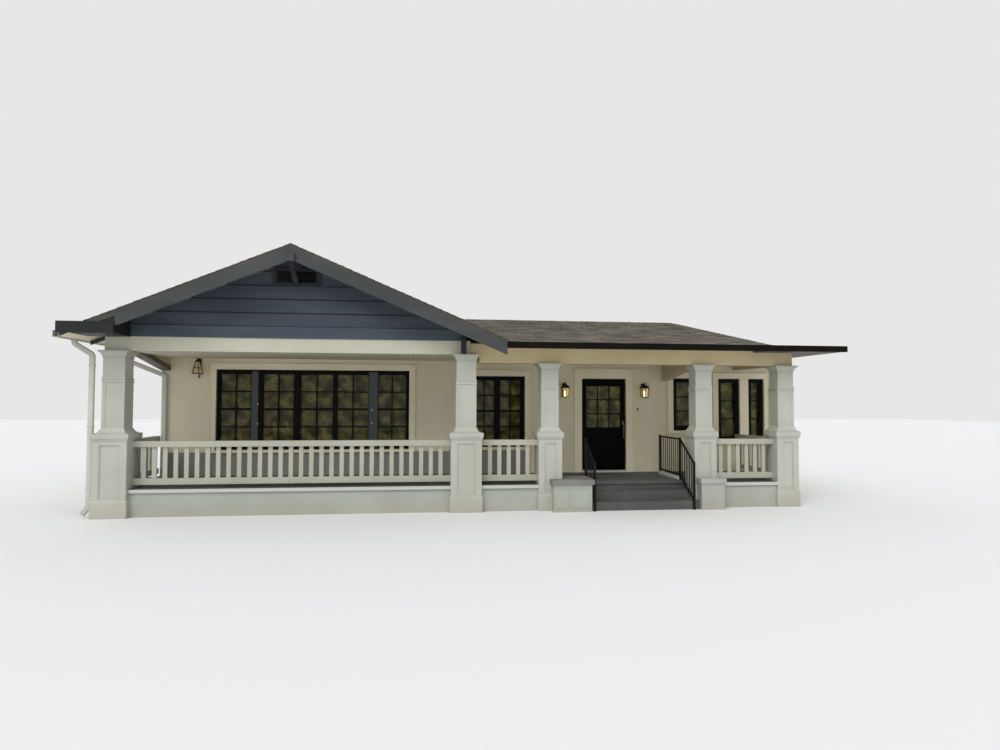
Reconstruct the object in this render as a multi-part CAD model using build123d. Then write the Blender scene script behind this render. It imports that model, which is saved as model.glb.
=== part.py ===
from build123d import *
import os

os.makedirs("parts", exist_ok=True)

# Driving dimensions, in millimetres. X runs along the front, Y from the front to the back,
# Z up from the ground. The origin lies on the ground, under the middle of the roof's outline.

# Outline of the roofs
OVERALL_WIDTH = 14000
OVERALL_DEPTH = 10500
RIDGE_BEAM_PROJECTION = 60
RAKE_OVERHANG = 500
REAR_OVERHANG = 480

# Floor, walls and ceiling
FLOOR_HEIGHT = 480
FLOOR_THICKNESS = 120
WALL_THICKNESS = 150
CEILING_THICKNESS = 70
LEFT_WALL_INSET = 770
RIGHT_WALL_INSET = 160
PORCH_DEPTH = 2155
FOUNDATION_INSET = 20

# Piers: distance of the first from the roof's left edge, then from centre to centre
FIRST_PIER_INSET = 710
PIER_SPANS = [6100, 1565, 3010, 1675]
GABLE_PIER_WIDTH = 560
PORCH_PIER_WIDTH = 440
GABLE_SHAFT_WIDTH = 360
PORCH_SHAFT_WIDTH = 320
PEDESTAL_HEIGHT = 880
PIER_CAP_THICKNESS = 80
PIER_CAP_OVERHANG = 30
SHAFT_FOOT_HEIGHT = 110
SHAFT_FOOT_WIDENING = 60
CAPITAL_HEIGHT = 115
CAPITAL_WIDENING = 60
NECK_BAND_HEIGHT = 30
NECK_BAND_OUT = 12
NECK_BAND_BELOW_TOP = 500
PANEL_MARGIN = 110
PANEL_DEPTH = 18
BASE_COURSE_HEIGHT = 230
BASE_COURSE_OUT = 12

# Beams over the porch; the left one sits higher than the wall's top, the right one fills in under the eaves
GABLE_BEAM_ABOVE_WALL = 150
GABLE_BEAM_DEPTH = 250
GABLE_BEAM_END_FROM_PIER = 100
PORCH_BEAM_DEPTH = 250
BEAM_THICKNESS = 260
SIDE_BEAM_THICKNESS = 160
SIDE_BEAM_DROP = 250
PORCH_CEILING_THICKNESS = 30
FRIEZE_DEPTH = 205
FRIEZE_THICKNESS = 40
GABLE_WALL_THICKNESS = 120
GABLE_WALL_SETBACK = 30

# Cross-gabled roof of the left wing, measured above the porch floor
GABLE_RIDGE_FROM_LEFT = 3746
GABLE_RIDGE_HEIGHT = 4235
GABLE_HALF_SPAN = 3742
GABLE_EAVE_ABOVE_EAVES = 52
ROOF_THICKNESS = 100
RAKE_BOARD_DEPTH = 175
RAKE_BOARD_THICKNESS = 40
COVERING = 15
RIDGE_CAP_WIDTH = 260
RIDGE_CAP_THICKNESS = 30
RETURN_BOTTOM = 2640
RETURN_LENGTH = 850
RETURN_FASCIA_TOP = 2830
RETURN_FASCIA_THICKNESS = 40
RETURN_FASCIA_PAST_ROOF = 40
BRACKET_WIDTH = 90
BRACKET_DEPTH = 150
PORCH_BEAM_END_FROM_PIER = 70
RIDGE_BEAM_WIDTH = 140
RIDGE_BEAM_END_DEPTH = 135
RIDGE_BEAM_END_DROP = 170
VENT_WIDTH = 755
VENT_HEIGHT = 275
VENT_BELOW_RIDGE = 601
VENT_SLATS = 7
VENT_SLAT_THICKNESS = 7
VENT_FRAME = 40

# Long roof of the right wing, measured above the porch floor
EAVE_HEIGHT = 2600
MAIN_SLOPE = 0.2
EAVE_OVERHANG = 340
VERGE_FROM_RIGHT = 1460
END_WALL_THICKNESS = 120
GUTTER_WIDTH = 100
GUTTER_DEPTH = 110
GUTTER_WALL = 12
DOWNSPOUT_WIDTH = 90
DOWNSPOUT_DEPTH = 70

# Windows and the front door: left edge from the roof's left edge, sill and head above the floor
GROUP_FROM_LEFT = 1835
GROUP_WIDTH = 3915
GROUP_SILL = 527
GROUP_HEAD = 2177
# Where each upright between the group's lights starts, from the group's left edge, and how wide it is
GROUP_UPRIGHTS = [(693, 215), (1542, 119), (2338, 74), (3073, 183)]
PAIR_FROM_LEFT = 7040
PAIR_WIDTH = 1190
PAIR_SILL = 560
PAIR_HEAD = 2080
RIGHT_SINGLE_FROM_LEFT = 11570
RIGHT_SINGLE_WIDTH = 560
RIGHT_SINGLE_SILL = 900
END_WINDOWS_FROM_LEFT = 12620
END_WINDOWS_WIDTH = 1080
END_WINDOWS_POST = (505, 205)
END_WINDOWS_SILL = 650
RIGHT_HEAD = 2060
SIDE_WINDOW_WIDTH = 1200
SIDE_WINDOW_SILL = 800
SIDE_WINDOW_HEAD = 2060
LEFT_SIDE_WINDOWS = 3
RIGHT_SIDE_WINDOWS = 2
BACK_WINDOWS = 4
FRAME_WIDTH = 60
FRAME_DEPTH = 80
FRAME_SETBACK = 30
GLASS_THICKNESS = 8
CASING_WIDTH = 130
CASING_THICKNESS = 25
CASING_SILL_OUT = 45
CASING_SILL_HEIGHT = 60

DOOR_FROM_LEFT = 9490
DOOR_OPENING_WIDTH = 995
DOOR_OPENING_HEIGHT = 2040
DOOR_THICKNESS = 45
DOOR_GAP = 8
DOOR_SETBACK = 40
DOOR_STILE = 95
DOOR_LIGHT_BOTTOM = 960
DOOR_LIGHT_TOP = 1890
DOOR_PANEL_DEPTH = 10
DOOR_PANEL_BOTTOM = 200
DOOR_PANEL_TOP = 820
DOOR_CASING_WIDTH = 170
DOOR_SILL_HEIGHT = 40
DOOR_SILL_OUT = 70
HANDLE_HEIGHT = 900
HANDLE_LENGTH = 330
HANDLE_STAND = 45
HANDLE_BAR = 18
HANDLE_PLATE = 46
HINGE_RADIUS = 5
HINGE_LENGTH = 90
HINGE_CLEARANCE = 0.3
HINGE_COUNT = 3

# Porch floor, skirt and front steps
DECK_THICKNESS = 60
DECK_SETBACK = 60
DECK_NOSING = 30
SKIRT_SETBACK = 100
SKIRT_THICKNESS = 150
RISERS = 3
TREAD = 300
BOTTOM_RISER_OUT = 60
STEPS_PAST_PIER = 50
CHEEK_HEIGHT = 500
CHEEK_CAP_THICKNESS = 85
CHEEK_CAP_OVERHANG = 40
LEFT_CHEEK_WIDTH = 515
LEFT_CHEEK_LAP = 195
RIGHT_CHEEK_WIDTH = 450
RIGHT_CHEEK_LEDGE = 90
RIGHT_CHEEK_LEDGE_OUT = 25
CHEEK_FRONT = 150
RIGHT_CHEEK_HEIGHT = 580

# Balustrades
RAIL_TOP = 820
TOP_RAIL_HEIGHT = 100
TOP_RAIL_WIDTH = 110
BOTTOM_RAIL_UNDERSIDE = 60
BOTTOM_RAIL_HEIGHT = 110
BOTTOM_RAIL_WIDTH = 80
BALUSTER_WIDTH = 75
BALUSTER_DEPTH = 35
BALUSTER_PITCH = 181

# Iron handrails beside the steps
IRON_POST = 25
IRON_RAIL = 30
IRON_PICKET = 13
IRON_PICKET_PITCH = 110
IRON_HEIGHT = 820
IRON_FOOT_HEIGHT = 880
IRON_LOW_RAIL_ABOVE_FLOOR = 90
IRON_FOOT_OUT = 40
IRON_LEVEL_LENGTH = 1100

# Lanterns
LANTERN_WIDTH = 160
LANTERN_HEIGHT = 370
LANTERN_BOTTOM = 1600
LANTERN_FROM_DOOR = 390
BELL_WIDTH = 230
BELL_HEIGHT = 330
BELL_BOTTOM = 2070
BELL_FROM_LEFT = 1505
BELL_TOP_WIDTH = 80
BELL_SKIRT_HEIGHT = 230

# Places that follow from the sizes above
WALL_TOP = EAVE_HEIGHT - ROOF_THICKNESS
GABLE_BEAM_TOP = WALL_TOP + GABLE_BEAM_ABOVE_WALL
GABLE_BEAM_BOTTOM = GABLE_BEAM_TOP - GABLE_BEAM_DEPTH
PORCH_BEAM_BOTTOM = WALL_TOP - PORCH_BEAM_DEPTH
FRIEZE_TOP = GABLE_BEAM_TOP + FRIEZE_DEPTH
GABLE_SLOPE = (GABLE_RIDGE_HEIGHT - EAVE_HEIGHT - GABLE_EAVE_ABOVE_EAVES) / GABLE_HALF_SPAN
VENT_BOTTOM = GABLE_RIDGE_HEIGHT - VENT_BELOW_RIDGE
LEFT_EDGE = -OVERALL_WIDTH / 2
RIGHT_EDGE = OVERALL_WIDTH / 2
FRONT_EDGE = -OVERALL_DEPTH / 2
BACK_EDGE = OVERALL_DEPTH / 2
RAKE_FACE = FRONT_EDGE + RIDGE_BEAM_PROJECTION
PIER_FACE = RAKE_FACE + RAKE_OVERHANG
REAR_RAKE_FACE = BACK_EDGE - RIDGE_BEAM_PROJECTION
HOUSE_FRONT = PIER_FACE + PORCH_DEPTH
HOUSE_BACK = REAR_RAKE_FACE - REAR_OVERHANG
HOUSE_LEFT = LEFT_EDGE + LEFT_WALL_INSET
HOUSE_RIGHT = RIGHT_EDGE - RIGHT_WALL_INSET
ROOM_FRONT = HOUSE_FRONT + WALL_THICKNESS
ROOM_BACK = HOUSE_BACK - WALL_THICKNESS
ROOM_LEFT = HOUSE_LEFT + WALL_THICKNESS
ROOM_RIGHT = HOUSE_RIGHT - WALL_THICKNESS
CEILING_UNDERSIDE = WALL_TOP - CEILING_THICKNESS
PORCH_CEILING_UNDERSIDE = CEILING_UNDERSIDE - PORCH_CEILING_THICKNESS

PIER_X = [LEFT_EDGE + FIRST_PIER_INSET]
for span in PIER_SPANS:
    PIER_X.append(PIER_X[-1] + span)
PIER_WIDTHS = [GABLE_PIER_WIDTH] * 2 + [PORCH_PIER_WIDTH] * 3
SHAFT_WIDTHS = [GABLE_SHAFT_WIDTH] * 2 + [PORCH_SHAFT_WIDTH] * 3
COLUMN_TOPS = [GABLE_BEAM_BOTTOM] * 2 + [PORCH_BEAM_BOTTOM] * 3
PIER_MIDDLE = PIER_FACE + GABLE_PIER_WIDTH / 2
BEAM_FRONT = PIER_FACE + (GABLE_PIER_WIDTH - BEAM_THICKNESS) / 2
BEAM_BACK = BEAM_FRONT + BEAM_THICKNESS
GABLE_BEAM_LEFT = PIER_X[0] - GABLE_SHAFT_WIDTH / 2
GABLE_BEAM_RIGHT = PIER_X[1] - GABLE_BEAM_END_FROM_PIER

RIDGE_X = LEFT_EDGE + GABLE_RIDGE_FROM_LEFT
GABLE_LEFT = LEFT_EDGE + GUTTER_WIDTH
GABLE_RIGHT = RIDGE_X + GABLE_HALF_SPAN
MAIN_EAVE_FRONT = PIER_FACE - EAVE_OVERHANG
MAIN_EAVE_BACK = HOUSE_BACK + EAVE_OVERHANG
FRIEZE_FACE = BEAM_FRONT - FRIEZE_THICKNESS / 2
MAIN_RIDGE_Y = (MAIN_EAVE_FRONT + MAIN_EAVE_BACK) / 2
VERGE_X = RIGHT_EDGE - VERGE_FROM_RIGHT
HIGH = GABLE_RIDGE_HEIGHT + FLOOR_HEIGHT


def up(height):
    """Turn a height above the floor into a height above the ground."""
    return FLOOR_HEIGHT + height


def block(x0, x1, y0, y1, z0, z1):
    """A rectangular block between two corners."""
    return Pos((x0 + x1) / 2, (y0 + y1) / 2, (z0 + z1) / 2) * Box(x1 - x0, y1 - y0, z1 - z0)


def prism_along_y(points, y0, y1):
    """A closed outline in the X-Z plane, carried from one Y to another."""
    face = make_face(Polyline(*[(x, y0, z) for x, z in points], close=True))
    return extrude(face, amount=y1 - y0, dir=(0, 1, 0))


def prism_along_x(points, x0, x1):
    """A closed outline in the Y-Z plane, carried from one X to another."""
    face = make_face(Polyline(*[(x0, y, z) for y, z in points], close=True))
    return extrude(face, amount=x1 - x0, dir=(1, 0, 0))


def solids_of(*shapes):
    """Gather pieces that don't touch into one shape."""
    return Compound(children=[solid for shape in shapes for solid in shape.solids()])


def save(name, shape):
    """Write one piece to its own file."""
    shape.label = name
    export_step(shape, f"parts/{name}.step")


# Roofs


def gable_top(x):
    """Height of the gabled roof's boards at x, just under its covering."""
    return up(GABLE_RIDGE_HEIGHT) - COVERING - GABLE_SLOPE * abs(x - RIDGE_X)


def main_top(y):
    """Height of the long roof's boards at y."""
    rise = min(y - MAIN_EAVE_FRONT, MAIN_EAVE_BACK - y)
    return up(EAVE_HEIGHT) + MAIN_SLOPE * rise


def ridge_caps():
    """The raised caps along both ridges; the gabled roof's one reaches the roof's full height."""
    half = RIDGE_CAP_WIDTH / 2
    outline = []
    for x in (RIDGE_X - half, RIDGE_X, RIDGE_X + half):
        outline.append((x, gable_top(x)))
    for x in (RIDGE_X + half, RIDGE_X, RIDGE_X - half):
        outline.append((x, gable_top(x) + COVERING))
    gable_cap = prism_along_y(outline, RAKE_FACE, REAR_RAKE_FACE)
    outline = []
    for y in (MAIN_RIDGE_Y - half, MAIN_RIDGE_Y, MAIN_RIDGE_Y + half):
        outline.append((y, main_top(y)))
    for y in (MAIN_RIDGE_Y + half, MAIN_RIDGE_Y, MAIN_RIDGE_Y - half):
        outline.append((y, main_top(y) + RIDGE_CAP_THICKNESS))
    main_cap = prism_along_x(outline, RIDGE_X, VERGE_X)
    return solids_of(gable_cap, main_cap - under_gable(whole_block(), 0))


def under_gable(shape, lowering=ROOF_THICKNESS):
    """Keep what lies below the gabled roof's underside."""
    outline = [
        (GABLE_LEFT, 0),
        (GABLE_LEFT, gable_top(GABLE_LEFT) - lowering),
        (RIDGE_X, gable_top(RIDGE_X) - lowering),
        (GABLE_RIGHT, gable_top(GABLE_RIGHT) - lowering),
        (GABLE_RIGHT, 0),
    ]
    return shape & prism_along_y(outline, FRONT_EDGE, BACK_EDGE)


def under_main(shape):
    """Keep what lies below the long roof's underside."""
    outline = [
        (MAIN_EAVE_FRONT, 0),
        (MAIN_EAVE_FRONT, main_top(MAIN_EAVE_FRONT) - ROOF_THICKNESS),
        (MAIN_RIDGE_Y, main_top(MAIN_RIDGE_Y) - ROOF_THICKNESS),
        (MAIN_EAVE_BACK, main_top(MAIN_EAVE_BACK) - ROOF_THICKNESS),
        (MAIN_EAVE_BACK, 0),
    ]
    return shape & prism_along_x(outline, LEFT_EDGE, RIGHT_EDGE)


def whole_block():
    """A block as large as the house."""
    return block(LEFT_EDGE, RIGHT_EDGE, FRONT_EDGE, BACK_EDGE, 0, HIGH)


def gable_slab(x_eave):
    """One slope of the gabled roof, from its ridge down to an eave."""
    outline = [
        (RIDGE_X, gable_top(RIDGE_X)),
        (x_eave, gable_top(x_eave)),
        (x_eave, gable_top(x_eave) - ROOF_THICKNESS),
        (RIDGE_X, gable_top(RIDGE_X) - ROOF_THICKNESS),
    ]
    return prism_along_y(outline, RAKE_FACE, REAR_RAKE_FACE)


def main_slab(y_eave):
    """One slope of the long roof, cut back along the valley where it meets the gabled roof."""
    outline = [
        (MAIN_RIDGE_Y, main_top(MAIN_RIDGE_Y)),
        (y_eave, main_top(y_eave)),
        (y_eave, main_top(y_eave) - ROOF_THICKNESS),
        (MAIN_RIDGE_Y, main_top(MAIN_RIDGE_Y) - ROOF_THICKNESS),
    ]
    slab = prism_along_x(outline, RIDGE_X, VERGE_X)
    return slab - under_gable(whole_block(), 0)


def flat_roof():
    """The low roof past the verge, level with the eaves."""
    top = up(EAVE_HEIGHT)
    return block(VERGE_X, RIGHT_EDGE, MAIN_EAVE_FRONT, MAIN_EAVE_BACK, top - ROOF_THICKNESS, top)


def roof_end_wall():
    """The triangle that closes the long roof over the flat one."""
    bottom = up(WALL_TOP)
    wall = block(VERGE_X - END_WALL_THICKNESS, VERGE_X, MAIN_EAVE_FRONT, MAIN_EAVE_BACK, bottom, HIGH)
    return under_main(wall)


def rake_boards():
    """The wide boards under the roof's edge, front and back, ending at the boxed return on the left."""
    outline = []
    for x in (GABLE_LEFT, RIDGE_X, GABLE_RIGHT):
        outline.append((x, gable_top(x) - ROOF_THICKNESS))
    for x in (GABLE_RIGHT, RIDGE_X, GABLE_LEFT):
        outline.append((x, gable_top(x) - ROOF_THICKNESS - RAKE_BOARD_DEPTH))
    front = prism_along_y(outline, RAKE_FACE, RAKE_FACE + RAKE_BOARD_THICKNESS)
    back = prism_along_y(outline, REAR_RAKE_FACE - RAKE_BOARD_THICKNESS, REAR_RAKE_FACE)
    past = block(LEFT_EDGE, GABLE_LEFT + RETURN_LENGTH, FRONT_EDGE, BACK_EDGE, 0, HIGH)
    return solids_of(front - ridge_beam() - past, back - ridge_beam() - past)


def eave_return():
    """The boxed end of the left eave, with a level fascia in front, run back to the frieze."""
    right = GABLE_LEFT + RETURN_LENGTH
    front = block(GABLE_LEFT, right, RAKE_FACE, FRIEZE_FACE, up(RETURN_BOTTOM), HIGH)
    rear = block(GABLE_LEFT, right, HOUSE_BACK, REAR_RAKE_FACE, up(RETURN_BOTTOM), HIGH)
    left = GABLE_LEFT - RETURN_FASCIA_PAST_ROOF
    thickness = RETURN_FASCIA_THICKNESS
    low, high = up(RETURN_BOTTOM), up(RETURN_FASCIA_TOP)
    front_fascia = block(left, right, RAKE_FACE - thickness, RAKE_FACE, low, high)
    rear_fascia = block(left, right, REAR_RAKE_FACE, REAR_RAKE_FACE + thickness, low, high)
    return solids_of(under_gable(front) + front_fascia, under_gable(rear) + rear_fascia)


def ridge_beam():
    """The beam under the ridge, whose ends stand out in front of the rake boards."""
    left = RIDGE_X - RIDGE_BEAM_WIDTH / 2
    right = RIDGE_X + RIDGE_BEAM_WIDTH / 2
    top = gable_top(left) - ROOF_THICKNESS
    end_top = gable_top(RIDGE_X) - RIDGE_BEAM_END_DROP
    bottom = end_top - RIDGE_BEAM_END_DEPTH
    inner_front = RAKE_FACE + RAKE_BOARD_THICKNESS
    inner_back = REAR_RAKE_FACE - RAKE_BOARD_THICKNESS
    ends = block(left, right, FRONT_EDGE, BACK_EDGE, bottom, end_top)
    return ends + block(left, right, inner_front, inner_back, bottom, top)


def gable_wall(y0, y1, bottom, left, right):
    """A gable's triangle of boarded wall."""
    return under_gable(block(left, right, y0, y1, bottom, HIGH))


def vent_hole(y0, y1):
    left = RIDGE_X - VENT_WIDTH / 2
    return block(left, left + VENT_WIDTH, y0, y1, up(VENT_BOTTOM), up(VENT_BOTTOM + VENT_HEIGHT))


def gable_vent():
    """A louvre: a frame with slanted slats that overlap."""
    y0 = BEAM_FRONT + GABLE_WALL_SETBACK
    y1 = y0 + GABLE_WALL_THICKNESS
    vent = vent_hole(y0, y1)
    inner = block(
        RIDGE_X - VENT_WIDTH / 2 + VENT_FRAME,
        RIDGE_X + VENT_WIDTH / 2 - VENT_FRAME,
        y0,
        y1,
        up(VENT_BOTTOM + VENT_FRAME),
        up(VENT_BOTTOM + VENT_HEIGHT - VENT_FRAME),
    )
    vent = vent - inner
    clear = VENT_HEIGHT - 2 * VENT_FRAME
    pitch = clear / VENT_SLATS
    left = RIDGE_X - VENT_WIDTH / 2 + VENT_FRAME
    right = RIDGE_X + VENT_WIDTH / 2 - VENT_FRAME
    for row in range(VENT_SLATS):
        z = up(VENT_BOTTOM + VENT_FRAME) + row * pitch - VENT_SLAT_THICKNESS / 2
        back = z + pitch
        outline = [(y0, z), (y0, z + VENT_SLAT_THICKNESS), (y1, back), (y1, back - VENT_SLAT_THICKNESS)]
        vent += prism_along_x(outline, left, right)
    return vent


def gutter_profile(start, outward):
    """Section of an open box gutter that hangs at an eave: start is the eave, outward +1 or -1."""
    top = up(EAVE_HEIGHT)
    bottom = top - GUTTER_DEPTH
    outer = start + outward * GUTTER_WIDTH
    inner = start + outward * GUTTER_WALL
    lip = outer - outward * GUTTER_WALL
    return [
        (start, top),
        (start, bottom),
        (outer, bottom),
        (outer, top),
        (lip, top),
        (lip, bottom + GUTTER_WALL),
        (inner, bottom + GUTTER_WALL),
        (inner, top),
    ]


def gutters():
    """Gutters along the long roof's front and back, and along the gabled roof's left eave."""
    front = prism_along_x(gutter_profile(MAIN_EAVE_FRONT, -1), GABLE_RIGHT, RIGHT_EDGE)
    back = prism_along_x(gutter_profile(MAIN_EAVE_BACK, 1), GABLE_RIGHT, RIGHT_EDGE)
    drop = gable_top(GABLE_LEFT) - up(EAVE_HEIGHT)
    side = prism_along_y(gutter_profile(GABLE_LEFT, -1), RAKE_FACE, REAR_RAKE_FACE)
    return solids_of(front, back, Pos(0, 0, drop) * side)


def downspout():
    """The rain pipe at the porch's left front corner."""
    x0 = PIER_X[0] - GABLE_PIER_WIDTH / 2 - PIER_CAP_OVERHANG - DOWNSPOUT_WIDTH
    y0 = PIER_FACE + DOWNSPOUT_DEPTH
    top = gable_top(GABLE_LEFT) - GUTTER_DEPTH
    pipe = block(x0, x0 + DOWNSPOUT_WIDTH, y0, y0 + DOWNSPOUT_DEPTH, 0, top)
    arm = block(
        GABLE_LEFT - GUTTER_WIDTH + GUTTER_WALL, x0, y0, y0 + DOWNSPOUT_DEPTH, top - DOWNSPOUT_WIDTH, top
    )
    return pipe + arm


# Walls


class Hole:
    """An opening in a wall: where it starts along the wall, its width, its sill and its head."""

    def __init__(self, start, width, sill, head):
        self.start = start
        self.end = start + width
        self.width = width
        self.sill = up(sill)
        self.head = up(head)


GROUP = Hole(LEFT_EDGE + GROUP_FROM_LEFT, GROUP_WIDTH, GROUP_SILL, GROUP_HEAD)
PAIR = Hole(LEFT_EDGE + PAIR_FROM_LEFT, PAIR_WIDTH, PAIR_SILL, PAIR_HEAD)
RIGHT_SINGLE = Hole(LEFT_EDGE + RIGHT_SINGLE_FROM_LEFT, RIGHT_SINGLE_WIDTH, RIGHT_SINGLE_SILL, RIGHT_HEAD)
END_WINDOWS = Hole(LEFT_EDGE + END_WINDOWS_FROM_LEFT, END_WINDOWS_WIDTH, END_WINDOWS_SILL, RIGHT_HEAD)
POST_START, POST_WIDTH = END_WINDOWS_POST
END_FIRST = Hole(END_WINDOWS.start, POST_START, END_WINDOWS_SILL, RIGHT_HEAD)
END_SECOND = Hole(
    END_WINDOWS.start + POST_START + POST_WIDTH,
    END_WINDOWS_WIDTH - POST_START - POST_WIDTH,
    END_WINDOWS_SILL,
    RIGHT_HEAD,
)
DOORWAY = Hole(LEFT_EDGE + DOOR_FROM_LEFT, DOOR_OPENING_WIDTH, 0, DOOR_OPENING_HEIGHT)
FRONT_WINDOWS = [GROUP, PAIR, RIGHT_SINGLE, END_FIRST, END_SECOND]


def even_windows(start, end, count):
    """Windows spaced evenly along a wall."""
    bay = (end - start) / count
    found = []
    for index in range(count):
        left = start + bay * (index + 1 / 2) - SIDE_WINDOW_WIDTH / 2
        found.append(Hole(left, SIDE_WINDOW_WIDTH, SIDE_WINDOW_SILL, SIDE_WINDOW_HEAD))
    return found


LEFT_WINDOWS = even_windows(ROOM_FRONT, ROOM_BACK, LEFT_SIDE_WINDOWS)
RIGHT_WINDOWS = even_windows(ROOM_FRONT, ROOM_BACK, RIGHT_SIDE_WINDOWS)
REAR_WINDOWS = even_windows(HOUSE_LEFT, HOUSE_RIGHT, BACK_WINDOWS)


def along_x(hole, y0, y1):
    return block(hole.start, hole.end, y0, y1, hole.sill, hole.head)


def along_y(hole, x0, x1):
    return block(x0, x1, hole.start, hole.end, hole.sill, hole.head)


def front_wall(x0, x1, z0):
    """A stretch of the front wall with the windows that fall in it."""
    wall = block(x0, x1, HOUSE_FRONT, ROOM_FRONT, z0, up(WALL_TOP))
    for hole in FRONT_WINDOWS:
        if x0 < hole.start and hole.end < x1:
            wall -= along_x(hole, HOUSE_FRONT, ROOM_FRONT)
    return wall


def side_wall(x0, holes):
    """A side wall that stands between the front and back walls."""
    wall = block(x0, x0 + WALL_THICKNESS, ROOM_FRONT, ROOM_BACK, FLOOR_HEIGHT, HIGH)
    for hole in holes:
        wall -= along_y(hole, x0, x0 + WALL_THICKNESS)
    return wall


def back_wall():
    """The back wall: level beside the long roof, and up to its underside where that roof lies over it."""
    top = up(WALL_TOP)
    wall = block(HOUSE_LEFT, HOUSE_RIGHT, ROOM_BACK, HOUSE_BACK, FLOOR_HEIGHT, top)
    wall += under_main(block(GABLE_RIGHT, VERGE_X - END_WALL_THICKNESS, ROOM_BACK, HOUSE_BACK, top, HIGH))
    for hole in REAR_WINDOWS:
        wall -= along_x(hole, ROOM_BACK, HOUSE_BACK)
    return wall


def frame_x(hole, y0, uprights):
    """A window frame in a wall along X, with uprights at given places from its left edge."""
    frame = block(hole.start, hole.end, y0, y0 + FRAME_DEPTH, hole.sill, hole.head)
    left = FRAME_WIDTH
    for start, width in uprights + [(hole.width - FRAME_WIDTH, FRAME_WIDTH)]:
        low = hole.sill + FRAME_WIDTH
        high = hole.head - FRAME_WIDTH
        frame -= block(hole.start + left, hole.start + start, y0, y0 + FRAME_DEPTH, low, high)
        left = start + width
    return frame


def middle_upright(hole):
    """One upright in the middle of a window."""
    return [((hole.width - FRAME_WIDTH) / 2, FRAME_WIDTH)]


def frame_y(hole, x0):
    """A window frame with one mullion, in a wall along Y."""
    frame = block(x0, x0 + FRAME_DEPTH, hole.start, hole.end, hole.sill, hole.head)
    light = (hole.width - FRAME_WIDTH * 3) / 2
    for index in range(2):
        y0 = hole.start + FRAME_WIDTH + index * (light + FRAME_WIDTH)
        frame -= block(x0, x0 + FRAME_DEPTH, y0, y0 + light, hole.sill + FRAME_WIDTH, hole.head - FRAME_WIDTH)
    return frame


def sheet_x(hole, y0):
    """The glass behind a frame's face, in a wall along X."""
    return block(hole.start, hole.end, y0, y0 + GLASS_THICKNESS, hole.sill, hole.head)


def sheet_y(hole, x0):
    """The glass behind a frame's face, in a wall along Y."""
    return block(x0, x0 + GLASS_THICKNESS, hole.start, hole.end, hole.sill, hole.head)


def casing_x(hole, y_wall, outward):
    """Flat boards round an opening with a sill that stands out, on a wall along X."""
    y0 = min(y_wall, y_wall + outward * CASING_THICKNESS)
    y1 = max(y_wall, y_wall + outward * CASING_THICKNESS)
    top = hole.head + CASING_WIDTH
    casing = block(hole.start - CASING_WIDTH, hole.end + CASING_WIDTH, y0, y1, hole.sill, top)
    casing -= along_x(hole, y0, y1)
    s0 = min(y_wall, y_wall + outward * CASING_SILL_OUT)
    s1 = max(y_wall, y_wall + outward * CASING_SILL_OUT)
    sill_left = hole.start - CASING_WIDTH
    sill_right = hole.end + CASING_WIDTH
    return casing + block(sill_left, sill_right, s0, s1, hole.sill - CASING_SILL_HEIGHT, hole.sill)


def casing_y(hole, x_wall, outward):
    """Flat boards round an opening with a sill that stands out, on a wall along Y."""
    x0 = min(x_wall, x_wall + outward * CASING_THICKNESS)
    x1 = max(x_wall, x_wall + outward * CASING_THICKNESS)
    top = hole.head + CASING_WIDTH
    casing = block(x0, x1, hole.start - CASING_WIDTH, hole.end + CASING_WIDTH, hole.sill, top)
    casing -= along_y(hole, x0, x1)
    s0 = min(x_wall, x_wall + outward * CASING_SILL_OUT)
    s1 = max(x_wall, x_wall + outward * CASING_SILL_OUT)
    sill_start = hole.start - CASING_WIDTH
    sill_end = hole.end + CASING_WIDTH
    return casing + block(s0, s1, sill_start, sill_end, hole.sill - CASING_SILL_HEIGHT, hole.sill)


# Front door


def door_leaf():
    """A half-glazed leaf: one light above, two sunk panels below on each face."""
    x0 = DOORWAY.start + DOOR_GAP
    x1 = DOORWAY.end - DOOR_GAP
    y0 = HOUSE_FRONT + DOOR_SETBACK
    y1 = y0 + DOOR_THICKNESS
    leaf = block(x0, x1, y0, y1, FLOOR_HEIGHT + DOOR_SILL_HEIGHT + DOOR_GAP, DOORWAY.head - DOOR_GAP)
    leaf -= block(x0 + DOOR_STILE, x1 - DOOR_STILE, y0, y1, up(DOOR_LIGHT_BOTTOM), up(DOOR_LIGHT_TOP))
    panel = (x1 - x0 - 3 * DOOR_STILE) / 2
    for index in range(2):
        p0 = x0 + DOOR_STILE + index * (panel + DOOR_STILE)
        for face in (y0, y1 - DOOR_PANEL_DEPTH):
            low = up(DOOR_PANEL_BOTTOM)
            leaf -= block(p0, p0 + panel, face, face + DOOR_PANEL_DEPTH, low, up(DOOR_PANEL_TOP))
    return leaf


def door_glass():
    x0 = DOORWAY.start + DOOR_GAP + DOOR_STILE
    x1 = DOORWAY.end - DOOR_GAP - DOOR_STILE
    middle = HOUSE_FRONT + DOOR_SETBACK + DOOR_THICKNESS / 2
    y0 = middle - GLASS_THICKNESS / 2
    return block(x0, x1, y0, y0 + GLASS_THICKNESS, up(DOOR_LIGHT_BOTTOM), up(DOOR_LIGHT_TOP))


def door_hinges():
    """Barrels of the butt hinges, beside the jamb and just inside the leaf's inner face."""
    x = DOORWAY.start + HINGE_RADIUS + HINGE_CLEARANCE
    y = HOUSE_FRONT + DOOR_SETBACK + DOOR_THICKNESS + HINGE_RADIUS + HINGE_CLEARANCE
    low = DOORWAY.sill + DOOR_SILL_HEIGHT + 2 * HINGE_LENGTH
    high = DOORWAY.head - 2 * HINGE_LENGTH
    barrels = []
    for index in range(HINGE_COUNT):
        z = low + index * (high - low) / (HINGE_COUNT - 1)
        barrels.append(Pos(x, y, z) * Cylinder(HINGE_RADIUS, HINGE_LENGTH))
    return solids_of(*barrels)


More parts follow.
